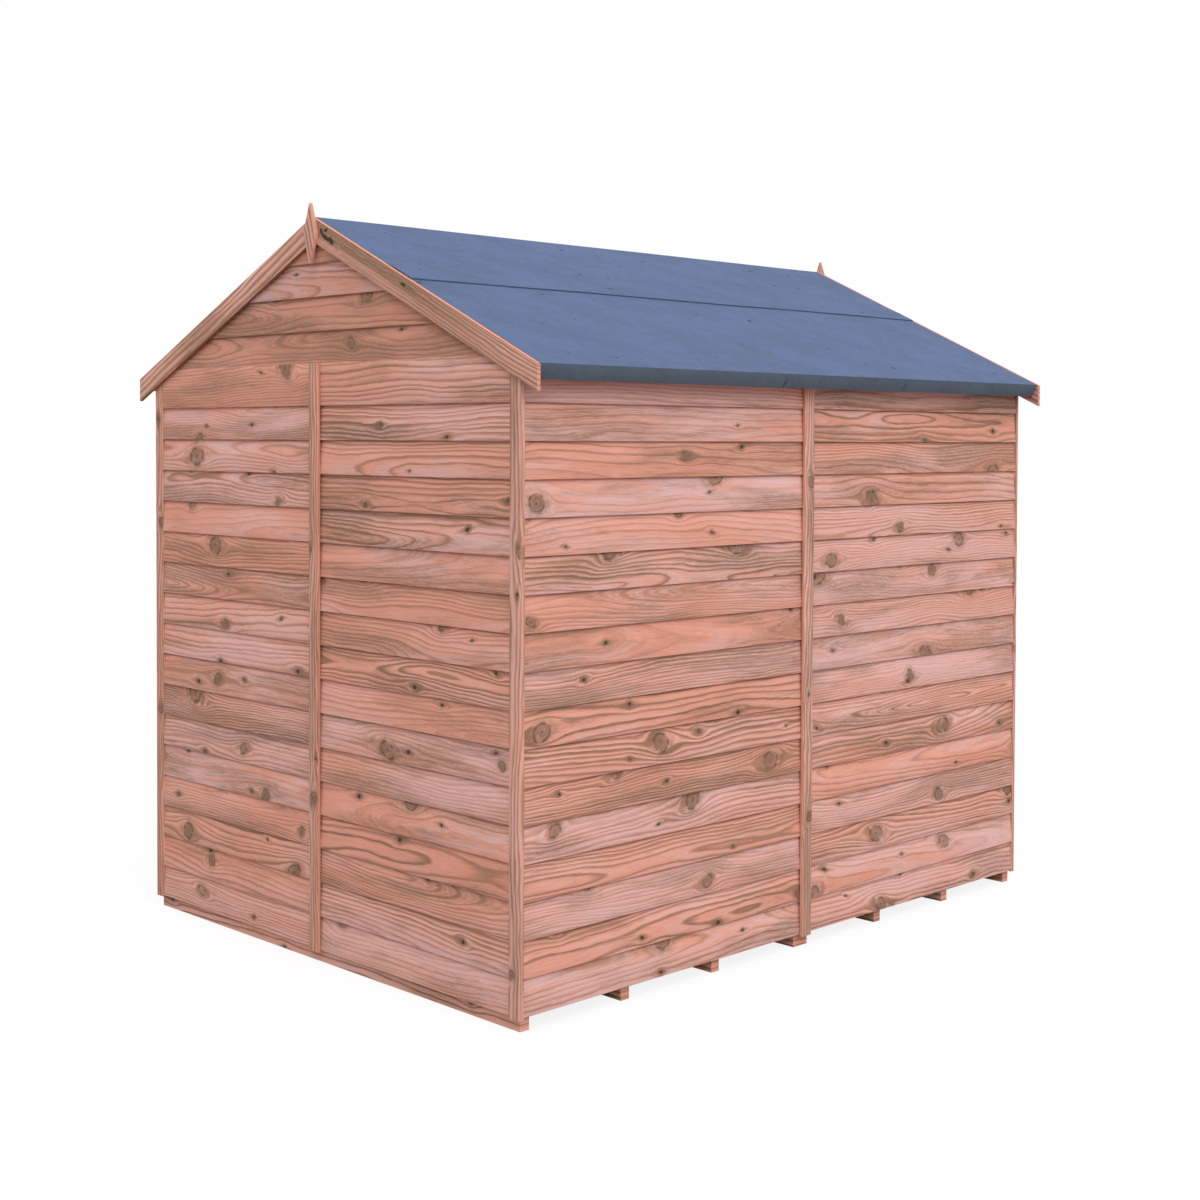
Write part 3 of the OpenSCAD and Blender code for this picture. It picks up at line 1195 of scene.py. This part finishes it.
@dataclass
class Wall:
    """A wall of lapped boards in panels, with a strip over their joint."""

    roof: RoofForm
    courses: Courses
    cladding: Material
    trim: Material
    seed: int
    strip_seed: int = 7
    steps: int = 12
    bow: float = 0.0005
    top_bow: float = 0.0005
    # Painted highlight on the strips' narrow sides
    strip_wear: float = 0.9
    trim_edge: float = 0.002
    trim_steps: int = 8

    def _clad(self, node: str, seed: int, wall: Place, ends: Point2, top: Callable[[float], Section]) -> None:
        """Makes a panel's boards, from the lowest up.

        Args:
            node: The solid that they stand for.
            seed: The start of the panel's random numbers.
            wall: The place of a board that lies on the ground.
            ends: Where the boards start and stop along the wall.
            top: The top board's section, by the height of its lower edge.
        """
        sketch = Sketch(node.replace("cladding", "boards"), seed)
        for course in range(self.courses.whole):
            place = wall.shifted(across=self.courses.bottom + course * self.courses.cover)
            sketch.board(place, self.courses.section(self.courses.cover), *ends, self.steps, self.bow)
        bottom = self.courses.bottom + self.courses.whole * self.courses.cover
        sketch.board(wall.shifted(across=bottom), top(bottom), *ends, self.steps, self.top_bow, NO_LAP)
        sketch.build(self.cladding, "cladding", node)

    def _strip(self, node: str, place: Place, length: float) -> None:
        """Makes the strip over the panels' joint.

        Args:
            node: The solid that it stands for.
            place: Where it stands.
            length: Its height.
        """
        size = Box.of(node).size
        width, depth = size.dot(place.across), abs(size.dot(place.out))
        section = Section.plain(width, depth, self.trim_edge, self.strip_wear, self.strip_wear)
        sketch = Sketch(node.replace("cover", "joint"), self.seed + self.strip_seed)
        sketch.board(place, section, 0.0, length, self.trim_steps)
        sketch.build(self.trim, "trim", node)


@dataclass(kw_only=True)
class SideWall(Wall):
    """The lapped boards of one long side, in two panels under a cover strip."""

    side: Side
    top_depth: float = 0.0075

    def build(self) -> None:
        """Makes both panels and the strip over their joint."""
        word = self.side.name.lower()
        for number, half in enumerate(("rear", "front")):
            self._panel(f"{word}_{half}_cladding", self.seed + number)
        node = f"{word}_cover_strip"
        box = Box.of(node)
        sign = self.side.value
        place = Place(Vector((sign * box.inner(Axis.X), box.low.y, box.low.z)), Z, Y, X * sign)
        self._strip(node, place, self.roof.under(box.outer(Axis.X)) - box.low.z)

    def _panel(self, node: str, seed: int) -> None:
        """Makes one panel's boards.

        Args:
            node: The solid that they stand for.
            seed: The start of the panel's random numbers.
        """
        box = Box.of(node)
        back = box.inner(Axis.X)

        def top(bottom: float) -> Section:
            """The top board's section, cut to the roof."""
            heights = [self.roof.under(x) - bottom for x in (back, back + self.top_depth)]
            return self.courses.upright(*heights, self.top_depth)

        wall = Place(X * self.side.value * back, Y, Z, X * self.side.value)
        self._clad(node, seed, wall, (box.low.y, box.high.y), top)


@dataclass(kw_only=True)
class Gable(Wall):
    """The lapped boards, peak and trims of one end."""

    end: End
    # The peak's wood: a darker copy of the cladding, partly painted shade under the barges
    peak: Material
    peak_seed: int = 8
    trim_seed: int = 11
    strip_seed: int = 4
    peak_laps: tuple[float, ...] = (1.934, 2.0385, 2.1405)
    peak_gap: float = 0.004
    peak_depth: float = 0.009
    tip: float = 0.002
    trim_width: float = 0.045
    # Painted highlight on the trims' narrow sides
    trim_highlight: float = 0.3
    steps: int = 10
    bow: float = 0.0004
    top_bow: float = 0.0

    def build(self) -> None:
        """Makes the panels, the peak, the corner trims and any cover strip."""
        word = self.end.name.lower()
        for number, half in enumerate(("right", "left")):
            self._panel(f"{word}_{half}_cladding", self.seed + number)
        self._peak()
        self._trims()
        if self.end is End.REAR:
            node = "rear_cover_strip"
            box = Box.of(node)
            place = replace(self._place(box, box.low.x), along=Z, across=X)
            self._strip(node, place.shifted(box.low.z), box.size.z)

    def _place(self, box: Box, x: float) -> Place:
        """Place of a board that lies on the ground along this gable, over a solid's inner face."""
        sign = self.end.value
        return Place(Vector((x, sign * box.inner(Axis.Y), 0)), X, Z, Y * sign)

    def _panel(self, node: str, seed: int) -> None:
        """Makes one lower panel's boards.

        Args:
            node: The solid that they stand for.
            seed: The start of the panel's random numbers.
        """
        box = Box.of(node)

        def top(bottom: float) -> Section:
            """The top board's section, cut to the peak."""
            rise = box.high.z - bottom
            return self.courses.upright(rise, rise, self.courses.depth)

        wall = self._place(box, box.low.x)
        self._clad(node, seed, wall, (0.0, box.size.x), top)

    def _peak(self) -> None:
        """Makes the peak's boards, cut to the roof at both ends."""
        node = f"{self.end.name.lower()}_peak_cladding"
        box = Box.of(node)
        apex = self.roof.under(0)
        fall = math.tan(self.roof.pitch)
        sketch = Sketch(node.replace("cladding", "boards"), self.seed + self.peak_seed)
        floors = (box.low.z, *self.peak_laps)
        for bottom, top in zip(floors, (*self.peak_laps, apex - self.peak_gap)):
            cover = top - bottom
            start = self.courses.cover - cover
            section = self.courses.section(cover)
            if bottom == floors[0]:
                section = self.courses.tight(cover)
            elif bottom == floors[-1]:
                section = self.courses.upright(cover, cover, self.peak_depth)
                start = NO_LAP

            def reach(across: float, bottom: float = bottom) -> float:
                """Half length of the board at a place across it."""
                return max((apex - bottom - across) / fall, self.tip)

            place = self._place(box, 0).shifted(across=bottom)
            sketch.board(place, section, lambda across: -reach(across), reach, self.steps, 0.0, start)
        sketch.build(self.peak, "cladding", node)

    def _trims(self) -> None:
        """Makes the trims at both corners."""
        node = f"{self.end.name.lower()}_corner_trims"
        box = Box.of(node)
        inner_edge = box.high.x - self.trim_width
        section = Section.plain(self.trim_width, box.size.y, self.trim_edge, self.trim_highlight, self.trim_highlight)

        def top(across: float) -> float:
            """Length of a trim at a place across it."""
            return min(box.high.z, self.roof.under(inner_edge + across)) - box.low.z

        sketch = Sketch(node.replace("trims", "boards"), self.seed + self.trim_seed)
        for side in Side:
            place = self._place(box, side.value * inner_edge).shifted(across=box.low.z)
            sketch.board(replace(place, along=Z, across=X * side.value), section, 0.0, top, self.trim_steps)
        sketch.build(self.trim, "trim", node)


@dataclass
class Verge:
    """The barge boards and the finial of one end."""

    end: End
    roof: RoofForm
    barges: Mapping[Side, Material]
    finial: Material
    seed: int
    finial_seed: int = 5
    edge: float = 0.0014
    steps: int = 14
    bow: float = 0.0003
    finial_chamfer: float = 0.0012
    finial_slant: float = 0.3

    def build(self) -> None:
        """Makes both barge boards and the finial."""
        for side in Side:
            self._barge(side)
        self._finial()

    def _barge(self, side: Side) -> None:
        """Makes one barge board, cut upright at both ends.

        Args:
            side: The slope it follows.
        """
        node = f"{self.end.name.lower()}_{side.name.lower()}_barge"
        box = Box.of(node)
        cos, tan = math.cos(self.roof.pitch), math.tan(self.roof.pitch)
        reach = box.outer(Axis.X)
        width = (box.size.z - reach * tan) * cos
        sketch = Sketch(f"{node}_board", self.seed + side.value)
        sketch.board(
            self.roof.place(side, box.inner(Axis.Y) * self.end.value),
            # Painted highlight along the upper edge, painted shade on the underside
            Section.plain(width, box.size.y, self.edge, 1.0, -1.0),
            lambda across: across * tan,
            lambda across: reach / cos + across * tan,
            self.steps,
            self.bow,
            grain_at=0.0,
        )
        sketch.build(self.barges[side], "trim", node)

    def _finial(self) -> None:
        """Makes the diamond finial."""
        node = f"{self.end.name.lower()}_finial"
        box = Box.of(node)
        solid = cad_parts[node].data.vertices
        foot, head = (max(v.co.x for v in solid if abs(v.co.z - z) < 1e-5) for z in (box.low.z, box.high.z))
        widest = max(solid, key=lambda v: v.co.x).co
        half = [(box.size.z, head), (widest.z - box.low.z, widest.x), (0, foot)]
        outline = [(half[0][0], -head), *half, *[(along, -across) for along, across in half[:0:-1]]]
        sign = self.end.value
        place = Place(Vector((0, box.inner(Axis.Y) * sign, box.low.z)), Z, X, Y * sign)
        sketch = Sketch(f"{node}_board", self.seed + self.finial_seed)
        # Painted highlight on the finial's chamfers and sides
        sketch.plate(place, outline, box.size.y, self.finial_chamfer, self.finial_slant, 1.0)
        sketch.build(self.finial, "trim", node)


@dataclass
class FeltedRoof:
    """The roof's boards and its felt: a lower sheet on each slope and one over the ridge."""

    roof: RoofForm
    boards: Material
    felt: Material
    felt_edge: Material
    seed: int
    lower_seed: int = 20
    ridge_seed: int = 31
    eaves_seed: int = 41
    boards_per_slope: int = 11
    board_steps: int = 6
    board_gap: float = 0.0004
    edge: float = 0.001
    lap_at: float = 0.509
    lap: float = 0.08
    lap_lift: float = 0.0036
    lap_rise: float = 0.6  # run over which the ridge sheet lifts, as a share of the lap
    seat: float = 0.0005
    thickness: float = 0.003
    tuck: float = 0.4  # how far a turned edge starts under the sheet, as a share of the thickness
    eaves_depth: float = 0.047
    eaves_steps: int = 24
    eaves_bow: float = 0.0005
    columns: int = 49
    grain_start: Point2 = (3.0, 0.2)
    lower_rows: int = 16
    ridge_rows: int = 14

    def build(self) -> None:
        """Makes the boards and the felt."""
        for side in Side:
            self._boards(side)
            self._lower(side)
        self._ridge_sheet()
        self._turned_edges()

    def _along_eaves(self, side: Side, along: float, under: float) -> Place:
        """Place of a board that runs along the ridge, with its back up.

        Args:
            side: The slope.
            along: Metres down the slope from the ridge.
            under: Metres under the felt's face.

        Returns:
            The place, across the slope downward.
        """
        down = self.roof.place(side, -self.roof.half_length)
        return Place(down.at(along, under, 0), Y, down.along, -down.across)

    def _boards(self, side: Side) -> None:
        """Makes one slope's boards, which run along the ridge.

        Args:
            side: The slope.
        """
        node = f"{side.name.lower()}_roof_boards"
        start = self.roof.build * math.tan(self.roof.pitch)
        step = (self.roof.slope - self.thickness - start) / self.boards_per_slope
        place = self._along_eaves(side, start, self.roof.build)
        section = Section.plain(step - self.board_gap, self.roof.build - self.thickness, self.edge)
        sketch = Sketch(node.replace("boards", "planks"), self.seed + side.value)
        length = 2 * self.roof.half_length
        sketch.row(self.boards_per_slope, place.across * step, place, section, 0.0, length, self.board_steps)
        sketch.build(self.boards, "frame", node)

    @staticmethod
    def _wave(along: float, y: float) -> float:
        """How far the felt stands off a true plane, from small waves in it.

        Args:
            along: Metres down the slope.
            y: Metres along the ridge.

        Returns:
            The height.
        """
        long = math.sin(y * 5.3 + along * 2.1) * math.sin(along * 7.7 + 0.6)
        short = math.sin(y * 13.1 - along * 4.2 + 1.3) * math.sin(along * 11.3)
        return 0.0007 * long + 0.0004 * short

    def _closed(self, sketch: Sketch, side: Side, face: Sequence[Point2]) -> None:
        """Adds a sheet on one slope, with its edges and its back.

        Args:
            sketch: The piece.
            side: The slope.
            face: The sheet's run down the slope, as (along, lift) places.
        """
        back = [(along, lift - self.thickness) for along, lift in reversed(face)]
        run = [*face, *back, face[0]]
        lengths = list(accumulate(map(math.dist, run, run[1:]), initial=self.grain_start[1]))
        half = self.roof.half_length
        ys = [-half + 2 * half * i / (self.columns - 1) for i in range(self.columns)]
        rows = []
        for y in ys:
            place = self.roof.place(side, y)
            rows.append([place.at(along, -lift - self._wave(along, y), 0) for along, lift in run])
        grain = [[(y + self.grain_start[0], length) for length in lengths] for y in ys]
        sketch.sheet(rows, grain, len(face) - 1)

    def _lower(self, side: Side) -> None:
        """Makes a slope's lower sheet, from under the lap to the eaves.

        Args:
            side: The slope.
        """
        node = f"{side.name.lower()}_felt"
        top = self.lap_at - self.lap
        step = (self.roof.slope - top) / self.lower_rows
        sketch = Sketch(node.replace("felt", "lower_felt"), self.seed + self.lower_seed + side.value)
        self._closed(sketch, side, [(top + step * i, -self.seat) for i in range(self.lower_rows + 1)])
        sketch.build(self.felt, "felt", node)

    def _ridge_sheet(self) -> None:
        """Makes the sheet over the ridge, which laps both lower sheets."""
        sketch = Sketch("ridge_felt", self.seed + self.ridge_seed)
        face = []
        for along in (self.lap_at * i / self.ridge_rows for i in range(self.ridge_rows + 1)):
            raised = (along - (self.lap_at - self.lap * (1 + self.lap_rise))) / (self.lap * self.lap_rise)
            face.append((along, self.lap_lift * min(max(raised, 0.0), 1.0)))
        for side in Side:
            self._closed(sketch, side, face)
        sketch.build(self.felt, "felt")

    def _turned_edges(self) -> None:
        """Makes the felt that turns down over both eaves."""
        sketch = Sketch("turned_eaves_felt", self.seed + self.eaves_seed)
        tucked = self.thickness * self.tuck
        section = Section.plain(self.eaves_depth - tucked, self.thickness, self.edge)
        length = 2 * self.roof.half_length
        for side in Side:
            place = self._along_eaves(side, self.roof.slope - self.thickness, tucked)
            turned = replace(place, across=-place.out, out=place.across)
            sketch.board(turned, section, 0.0, length, self.eaves_steps, self.eaves_bow)
        sketch.build(self.felt_edge, "felt_edge", "eaves_felt")


@dataclass
class FloorHalf:
    """The bearers and boards of one half of the floor."""

    end: End
    timber: Material
    seed: int
    bearers: int = 4
    bearer: float = 0.034
    bearer_edge: float = 0.0015
    bearer_steps: int = 8
    planks: int = 16
    plank_gap: float = 0.0006
    plank_edge: float = 0.0012
    plank_steps: int = 4

    def build(self) -> None:
        """Makes the bearers, which run across the shed, and the floor boards, which run along it."""
        word = self.end.name.lower()
        node = f"{word}_floor_bearers"
        box = Box.of(node)
        place = Place(Vector((box.low.x, box.low.y + self.bearer, 0)), X, Z, -Y)
        step = Y * ((box.size.y - self.bearer) / (self.bearers - 1))
        section = Section.plain(box.high.z, self.bearer, self.bearer_edge)
        sketch = Sketch(f"{word}_bearer_timbers", self.seed)
        sketch.row(self.bearers, step, place, section, 0.0, box.size.x, self.bearer_steps)
        sketch.build(self.timber, "floor", node)

        node = f"{word}_floor_deck"
        box = Box.of(node)
        width = box.size.x / self.planks
        section = Section.plain(width - self.plank_gap, box.size.z, self.plank_edge)
        sketch = Sketch(f"{word}_floor_planks", self.seed + 1)
        place = Place(box.low, Y, X, Z)
        sketch.row(self.planks, X * width, place, section, 0.0, box.size.y, self.plank_steps)
        sketch.build(self.timber, "floor", node)


def mirrored(shape: Sequence[Point2], half: float) -> list[Point2]:
    """An outline on both sides of its middle line, from (along, share of half its height) points."""
    side = [(along, -half * share) for along, share in shape]
    return [*side, *[(along, -across) for along, across in reversed(side)]]


@dataclass
class Door:
    """The plain ledged door in the front gable, with its strap hinges and latch.

    The metalwork's outlines and screws are (along, share of half its height) points, in from the door's
    edge. A screw and the latch's pivot have a radius and a height.
    """

    boards: Material
    metal: Material
    seed: int
    metal_seed: int = 10
    planks: int = 7
    plank_gap: float = 0.0005
    plank_edge: float = 0.003
    steps: int = 10
    bow: float = 0.0003
    plate: float = 0.003
    chamfer: float = 0.0006
    clearance: float = 0.0015
    knuckle: float = 0.005
    knuckle_sides: int = 12
    knuckle_from: float = -0.006
    knuckle_parts: tuple[Point2, ...] = ((0.0, 0.31), (0.33, 0.67), (0.69, 1.0))
    strap: tuple[Point2, ...] = ((0.004, 1.0), (0.2, 0.6), (0.244, 0.45), (0.256, 0.16))
    leaf: tuple[Point2, ...] = ((-0.006, 1.0), (-0.062, 1.0), (-0.07, 0.6))
    screws: tuple[Point2, ...] = ((0.03, 0.0), (0.115, 0.0), (0.2, 0.0), (-0.035, 0.5), (-0.035, -0.5))
    screw: Point2 = (0.0045, 0.0016)
    latch: tuple[Point2, ...] = ((0.006, 1.0), (0.068, 1.0), (0.07, 0.8))
    latch_screws: tuple[Point2, ...] = ((0.016, 0.7), (0.016, -0.7), (0.06, 0.7), (0.06, -0.7))
    latch_screw: Point2 = (0.0035, 0.0013)
    arm_foot: Point2 = (-0.034, 0.007)
    arm_head: Point2 = (0.038, 0.009)
    arm_tips: Point2 = (-0.038, 0.046)
    arm_plate: float = 0.004
    arm_chamfer: float = 0.0008
    pivot: Point2 = (0.008, 0.004)
    pivot_at: float = 0.03
    pivot_sides: int = 14

    def build(self) -> None:
        """Makes the door's boards and its metalwork."""
        self._leaf()
        self._metalwork()

    def _leaf(self) -> None:
        """Makes the door's upright boards."""
        box = Box.of("door_leaf")
        width = box.size.x / self.planks
        section = Section.plain(width - self.plank_gap, box.size.y, self.plank_edge)
        sketch = Sketch("door_boards", self.seed)
        place = Place(box.low, Z, X, Y)
        # The cladding's painted lap shade falls as a dark line along one edge of each plank
        sketch.row(self.planks, X * width, place, section, 0.0, box.size.z, self.steps, self.bow)
        sketch.build(self.boards, "cladding", "door_leaf")

    def _metalwork(self) -> None:
        """Makes the hinges, with their knuckles and screws, and the latch."""
        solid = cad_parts["door_hardware"].data.vertices
        front = min(v.co.y for v in solid)
        edge = Box.of("door_leaf").high.x + self.clearance
        heights = sorted({round(v.co.z, 4) for v in solid})
        hinges, latch = (heights[:2], heights[-2:]), heights[2:4]
        sketch = Sketch("door_metalwork", self.seed + self.metal_seed)
        for low, high in hinges:
            self._hinge(sketch, Place(Vector((edge, front, (low + high) / 2)), -X, Z, Y), high - low)
        low, high = latch
        self._latch(sketch, Place(Vector((-edge, front, (low + high) / 2)), X, Z, Y), high - low)
        sketch.build(self.metal, "hardware", "door_hardware")

    def _hinge(self, sketch: Sketch, place: Place, height: float) -> None:
        """Adds a strap hinge.

        Args:
            sketch: The piece.
            place: The middle of the door's edge, on its face.
            height: The hinge's height at the edge.
        """
        half = height / 2
        for outline in (self.strap, self.leaf):
            sketch.plate(place, mirrored(outline, half), self.plate, self.chamfer)
        rod = replace(place.shifted(self.knuckle_from, -half), along=Z, across=-X)
        angles = [math.tau * i / self.knuckle_sides for i in range(self.knuckle_sides)]
        circle = [(self.knuckle * (1 - math.cos(a)), self.knuckle * (1 + math.sin(a))) for a in angles]
        section = Section(circle, [0.0] * self.knuckle_sides)
        for start, stop in self.knuckle_parts:
            sketch.board(rod, section, start * height, stop * height, 1)
        for along, share in self.screws:
            sketch.dome(place.at(along, half * share, self.plate), Y, *self.screw)

    def _latch(self, sketch: Sketch, place: Place, height: float) -> None:
        """Adds a turn latch.

        Args:
            sketch: The piece.
            place: The middle of the door's edge, on its face.
            height: The latch's height.
        """
        half = height / 2
        sketch.plate(place, mirrored(self.latch, half), self.plate, self.chamfer)
        near, far, *back = mirrored((self.arm_foot, self.arm_head), 1.0)
        foot, head = self.arm_tips
        arm = [near, far, (head, 0.0), *back, (foot, 0.0)]
        sketch.plate(place.shifted(out=self.plate), arm, self.arm_plate, self.arm_chamfer)
        for along, share in self.latch_screws:
            sketch.dome(place.at(along, half * share, self.plate), Y, *self.latch_screw)
        top = place.at(self.pivot_at, 0, self.plate + self.arm_plate)
        sketch.dome(top, Y, *self.pivot, self.pivot_sides)


@dataclass
class HiddenFrame:
    """The frame inside the walls and under the roof, which keeps its solids."""

    timbers: Mapping[Axis, tuple[str, ...]]

    def dress(self) -> None:
        """Gives each solid of the frame its timber, by the way its grain runs."""
        for axis, nodes in self.timbers.items():
            timber = SawnTimber(f"frame_along_{axis.name.lower()}", axis).material()
            for node in nodes:
                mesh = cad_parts[node].data
                mesh.materials.clear()
                mesh.materials.append(timber)
                LOG.info("%s keeps its solid", node)


@dataclass
class Studio:
    """The camera where the photograph was taken from, soft light and a pale floor."""

    eye: Point2 = (4.4604, -4.3998)
    eye_height: float = 1.6084
    yaw: float = -0.7922
    pitch: float = -0.0282
    roll: float = 0.0038
    focal_px: float = 1775.57
    centre_y_px: float = 489.54
    image_px: float = 1200.0
    sensor_mm: float = 36.0
    sky: float = 0.88
    key: float = 2.06
    key_spread: float = 60.0
    key_way: Colour = (-0.7, 0.37, -0.85)
    floor_half: float = 40.0
    floor_white: float = 0.86
    floor_paint: float = 0.9
    floor_bounce: float = 0.3

    def build(self) -> None:
        """Makes the camera, the light and the floor."""
        self._camera()
        self._sky()
        self._key()
        self._floor()
        bpy.context.scene.view_settings.view_transform = "Standard"

    @staticmethod
    def _link(name: str, data: bpy.types.ID) -> bpy.types.Object:
        """Puts a new object in the scene.

        Args:
            name: The object's name.
            data: Its mesh, lamp or lens.

        Returns:
            The object.
        """
        thing = bpy.data.objects.new(name, data)
        bpy.context.scene.collection.objects.link(thing)
        return thing

    def _camera(self) -> None:
        """Makes the camera."""
        lens = bpy.data.cameras.new("photo_camera")
        lens.sensor_width = self.sensor_mm
        lens.lens = self.focal_px / self.image_px * self.sensor_mm
        lens.shift_y = (self.centre_y_px - self.image_px / 2) / self.image_px
        camera = self._link("photo_camera", lens)
        heading = Matrix.Rotation(-self.yaw, 4, "Z")
        tilt = Matrix.Rotation(math.pi / 2 + self.pitch, 4, "X")
        turn = heading @ tilt @ Matrix.Rotation(self.roll, 4, "Z")
        camera.matrix_world = Matrix.Translation((*self.eye, self.eye_height)) @ turn
        bpy.context.scene.camera = camera

    def _sky(self) -> None:
        """Makes an even sky, white where it is seen."""
        world = bpy.data.worlds.new("studio_sky")
        net = Net(world)
        path = net.add("ShaderNodeLightPath", output="Is Camera Ray")
        seen = path.most(path.beside("Is Glossy Ray")).most(path.beside("Is Transmission Ray"))
        strength = self.sky + (1 - self.sky) * seen
        glow = net.add("ShaderNodeBackground", None, {"Color": (1, 1, 1, 1), "Strength": strength})
        net.add("ShaderNodeOutputWorld", None, {"Surface": glow})
        bpy.context.scene.world = world

    def _key(self) -> None:
        """Makes a broad soft key light from the right."""
        sun = bpy.data.lights.new("key_light", "SUN")
        sun.energy = self.key
        sun.angle = math.radians(self.key_spread)
        self._link("key_light", sun).rotation_euler = Vector(self.key_way).to_track_quat("-Z", "Y").to_euler()

    def _floor(self) -> None:
        """Makes the floor, white to the camera but for the shadow, and grey in the light it throws back."""
        mesh = bpy.data.meshes.new("studio_floor")
        half = self.floor_half
        corners = [(-half, -half, 0), (half, -half, 0), (half, half, 0), (-half, half, 0)]
        mesh.from_pydata(corners, [], [(0, 1, 2, 3)])
        net = Net.finish("studio_floor")
        paints = [{"Color": (level, level, level, 1.0)} for level in (self.floor_paint, self.floor_bounce)]
        white, grey = (net.add("ShaderNodeBsdfDiffuse", None, paint) for paint in paints)
        glow = net.add("ShaderNodeEmission", None, {"Color": (1, 1, 1, 1), "Strength": 1.0})
        shown = net.add("ShaderNodeMixShader", None, {0: self.floor_white, 1: white, 2: glow})
        seen = net.add("ShaderNodeLightPath", output="Is Camera Ray")
        mixed = net.add("ShaderNodeMixShader", None, {0: seen, 1: grey, 2: shown})
        net.add("ShaderNodeOutputMaterial", None, {"Surface": mixed})
        mesh.materials.append(net.owner)
        self._link("studio_floor", mesh)


NO_KNOTS = KnotKind(0.6, Span(0.004, 0.008), 0.0, 2.0)
SLIM_KNOTS = replace(NO_KNOTS, share=0.5)

LAPPED_BOARDS = GrainedWood("lapped_boards")
# The peak's wood: darker than the cladding with more olive wash, partly painted shade under the barges
PEAK_BOARDS_WITH_PAINTED_SHADE = GrainedWood(
    "peak_boards",
    pale=srgb(209, 166, 162),
    mid=srgb(210, 147, 127),
    deep=srgb(195, 132, 110),
    ring=Span(0.01, 0.024),
    wash=0.35,
)
FLOOR_TIMBER = GrainedWood(
    "floor_timber",
    pale=srgb(231, 177, 164),
    mid=srgb(230, 166, 146),
    deep=srgb(220, 156, 133),
    ring=Span(0.013, 0.019),
    heart=Span(-0.14, -0.05),
    depth=Span(0.0, 0.05),
    sway=0.07,
    ripple=0.045,
    stroke=Span(0.008, 0.011),
    figure=Span(1.06, 1.06),
    even=0.85,
    rust=0.0,
    lap=9.0,
    width=0.05,
    roughness=0.78,
    small_knots=SLIM_KNOTS,
    large_knots=KnotKind(0.9, Span(0.011, 0.016), 0.9, 1.2, 7.7),
)
PLANED_TRIM = replace(
    FLOOR_TIMBER,
    name="planed_trim",
    pale=srgb(224, 170, 156),
    mid=srgb(223, 160, 141),
    deep=srgb(213, 150, 128),
    figure=Span(0.72, 0.95),
    sway=0.13,
    ripple=0.085,
    roughness=0.72,
)
FINIAL_WOOD = replace(
    FLOOR_TIMBER,
    name="finial_wood",
    ring=Span(0.017, 0.019),
    ripple=0.01,
    stroke=Span(0.007, 0.01),
    width=0.118,
    roughness=0.72,
    small_knots=NO_KNOTS,
    large_knots=NO_KNOTS,
)
BARGE_TIMBER = replace(
    FLOOR_TIMBER,
    name="barge_timber",
    mid=srgb(212, 154, 134),
    deep=srgb(196, 140, 116),
    ring=Span(0.015, 0.02),
    sway=0.14,
    ripple=0.05,
    stroke=Span(0.01, 0.014),
    blur=0.25,
    wash=0.45,
    width=0.07,
    roughness=0.72,
    small_knots=KnotKind(0.9, Span(0.003, 0.005), 0.4, 2.0),
    large_knots=NO_KNOTS,
)
KNOTTY_BARGE = replace(
    BARGE_TIMBER,
    name="knotty_barge_timber",
    pale=srgb(224, 168, 154),
    mid=srgb(209, 151, 131),
    knot=srgb(58, 40, 24),
    ring=Span(0.01, 0.014),
    stroke=Span(0.005, 0.01),
    stain=Stain(1.25, 0.046),
    marks=(
        Knot(0.066, 0.026, 0.0075, 0.4, -0.5),
        Knot(0.084, 0.013, 0.006, 0.5, 0.6),
        Knot(0.092, 0.034, 0.007, 0.12, -0.1),
        Knot(0.122, 0.034, 0.0085, 0.3, -0.2),
        Knot(0.5, 0.023, 0.0045, 0.12),
    ),
)
BLUE_FELT = RoofingFelt(
    "blue_felt",
    light=srgb(89, 104, 141),
    dark=srgb(79, 93, 120),
    fleck=srgb(44, 51, 63),
    cut=srgb(88, 101, 122),
)
FELT_EDGE = RoofingFelt(
    "slate_felt_edge",
    light=srgb(94, 104, 118),
    dark=srgb(84, 93, 106),
    fleck=srgb(30, 35, 42),
    cut=srgb(88, 97, 110),
    fleck_cell=(0.21, 0.05),
    fleck_shape=(4.0, 0.35),
)
FRAME_TIMBERS = {
    Axis.X: (
        "rear_gable_rails",
        "front_gable_rails",
        "rear_gable_rafters",
        "front_gable_rafters",
        "door_ledges",
    ),
    Axis.Y: ("right_wall_rails", "left_wall_rails", "roof_purlins", "eaves_rails"),
    Axis.Z: ("right_wall_studs", "left_wall_studs", "rear_gable_studs", "front_gable_studs"),
}


def main() -> None:
    """Builds the shed's pieces in order."""
    logging.basicConfig(level=logging.INFO, format="%(name)s: %(message)s")
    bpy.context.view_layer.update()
    cladding, trim, floor_timber = (wood.material() for wood in (LAPPED_BOARDS, PLANED_TRIM, FLOOR_TIMBER))
    peak, finial = PEAK_BOARDS_WITH_PAINTED_SHADE.material(), FINIAL_WOOD.material()
    barge, knotty_barge = BARGE_TIMBER.material(), KNOTTY_BARGE.material()
    roof = RoofForm.read()
    courses = Courses()
    for end in End:
        FloorHalf(end, floor_timber, FLOOR_SEED + 10 * end.value).build()
    for side in Side:
        SideWall(roof, courses, cladding, trim, SIDE_SEED + 20 * side.value, side=side).build()
    for end in End:
        Gable(roof, courses, cladding, trim, GABLE_SEED + 20 * end.value, end=end, peak=peak).build()
        barges = {side: knotty_barge if (end, side) == (End.REAR, Side.RIGHT) else barge for side in Side}
        Verge(end, roof, barges, finial, VERGE_SEED + 20 * end.value).build()
    planks = SawnTimber("roof_planks", Axis.Y).material()
    FeltedRoof(roof, planks, BLUE_FELT.material(), FELT_EDGE.material(), ROOF_SEED).build()
    Door(cladding, BlackEnamel("black_enamel").material(), DOOR_SEED).build()
    HiddenFrame(FRAME_TIMBERS).dress()
    Studio().build()


if __name__ == "__main__":
    main()
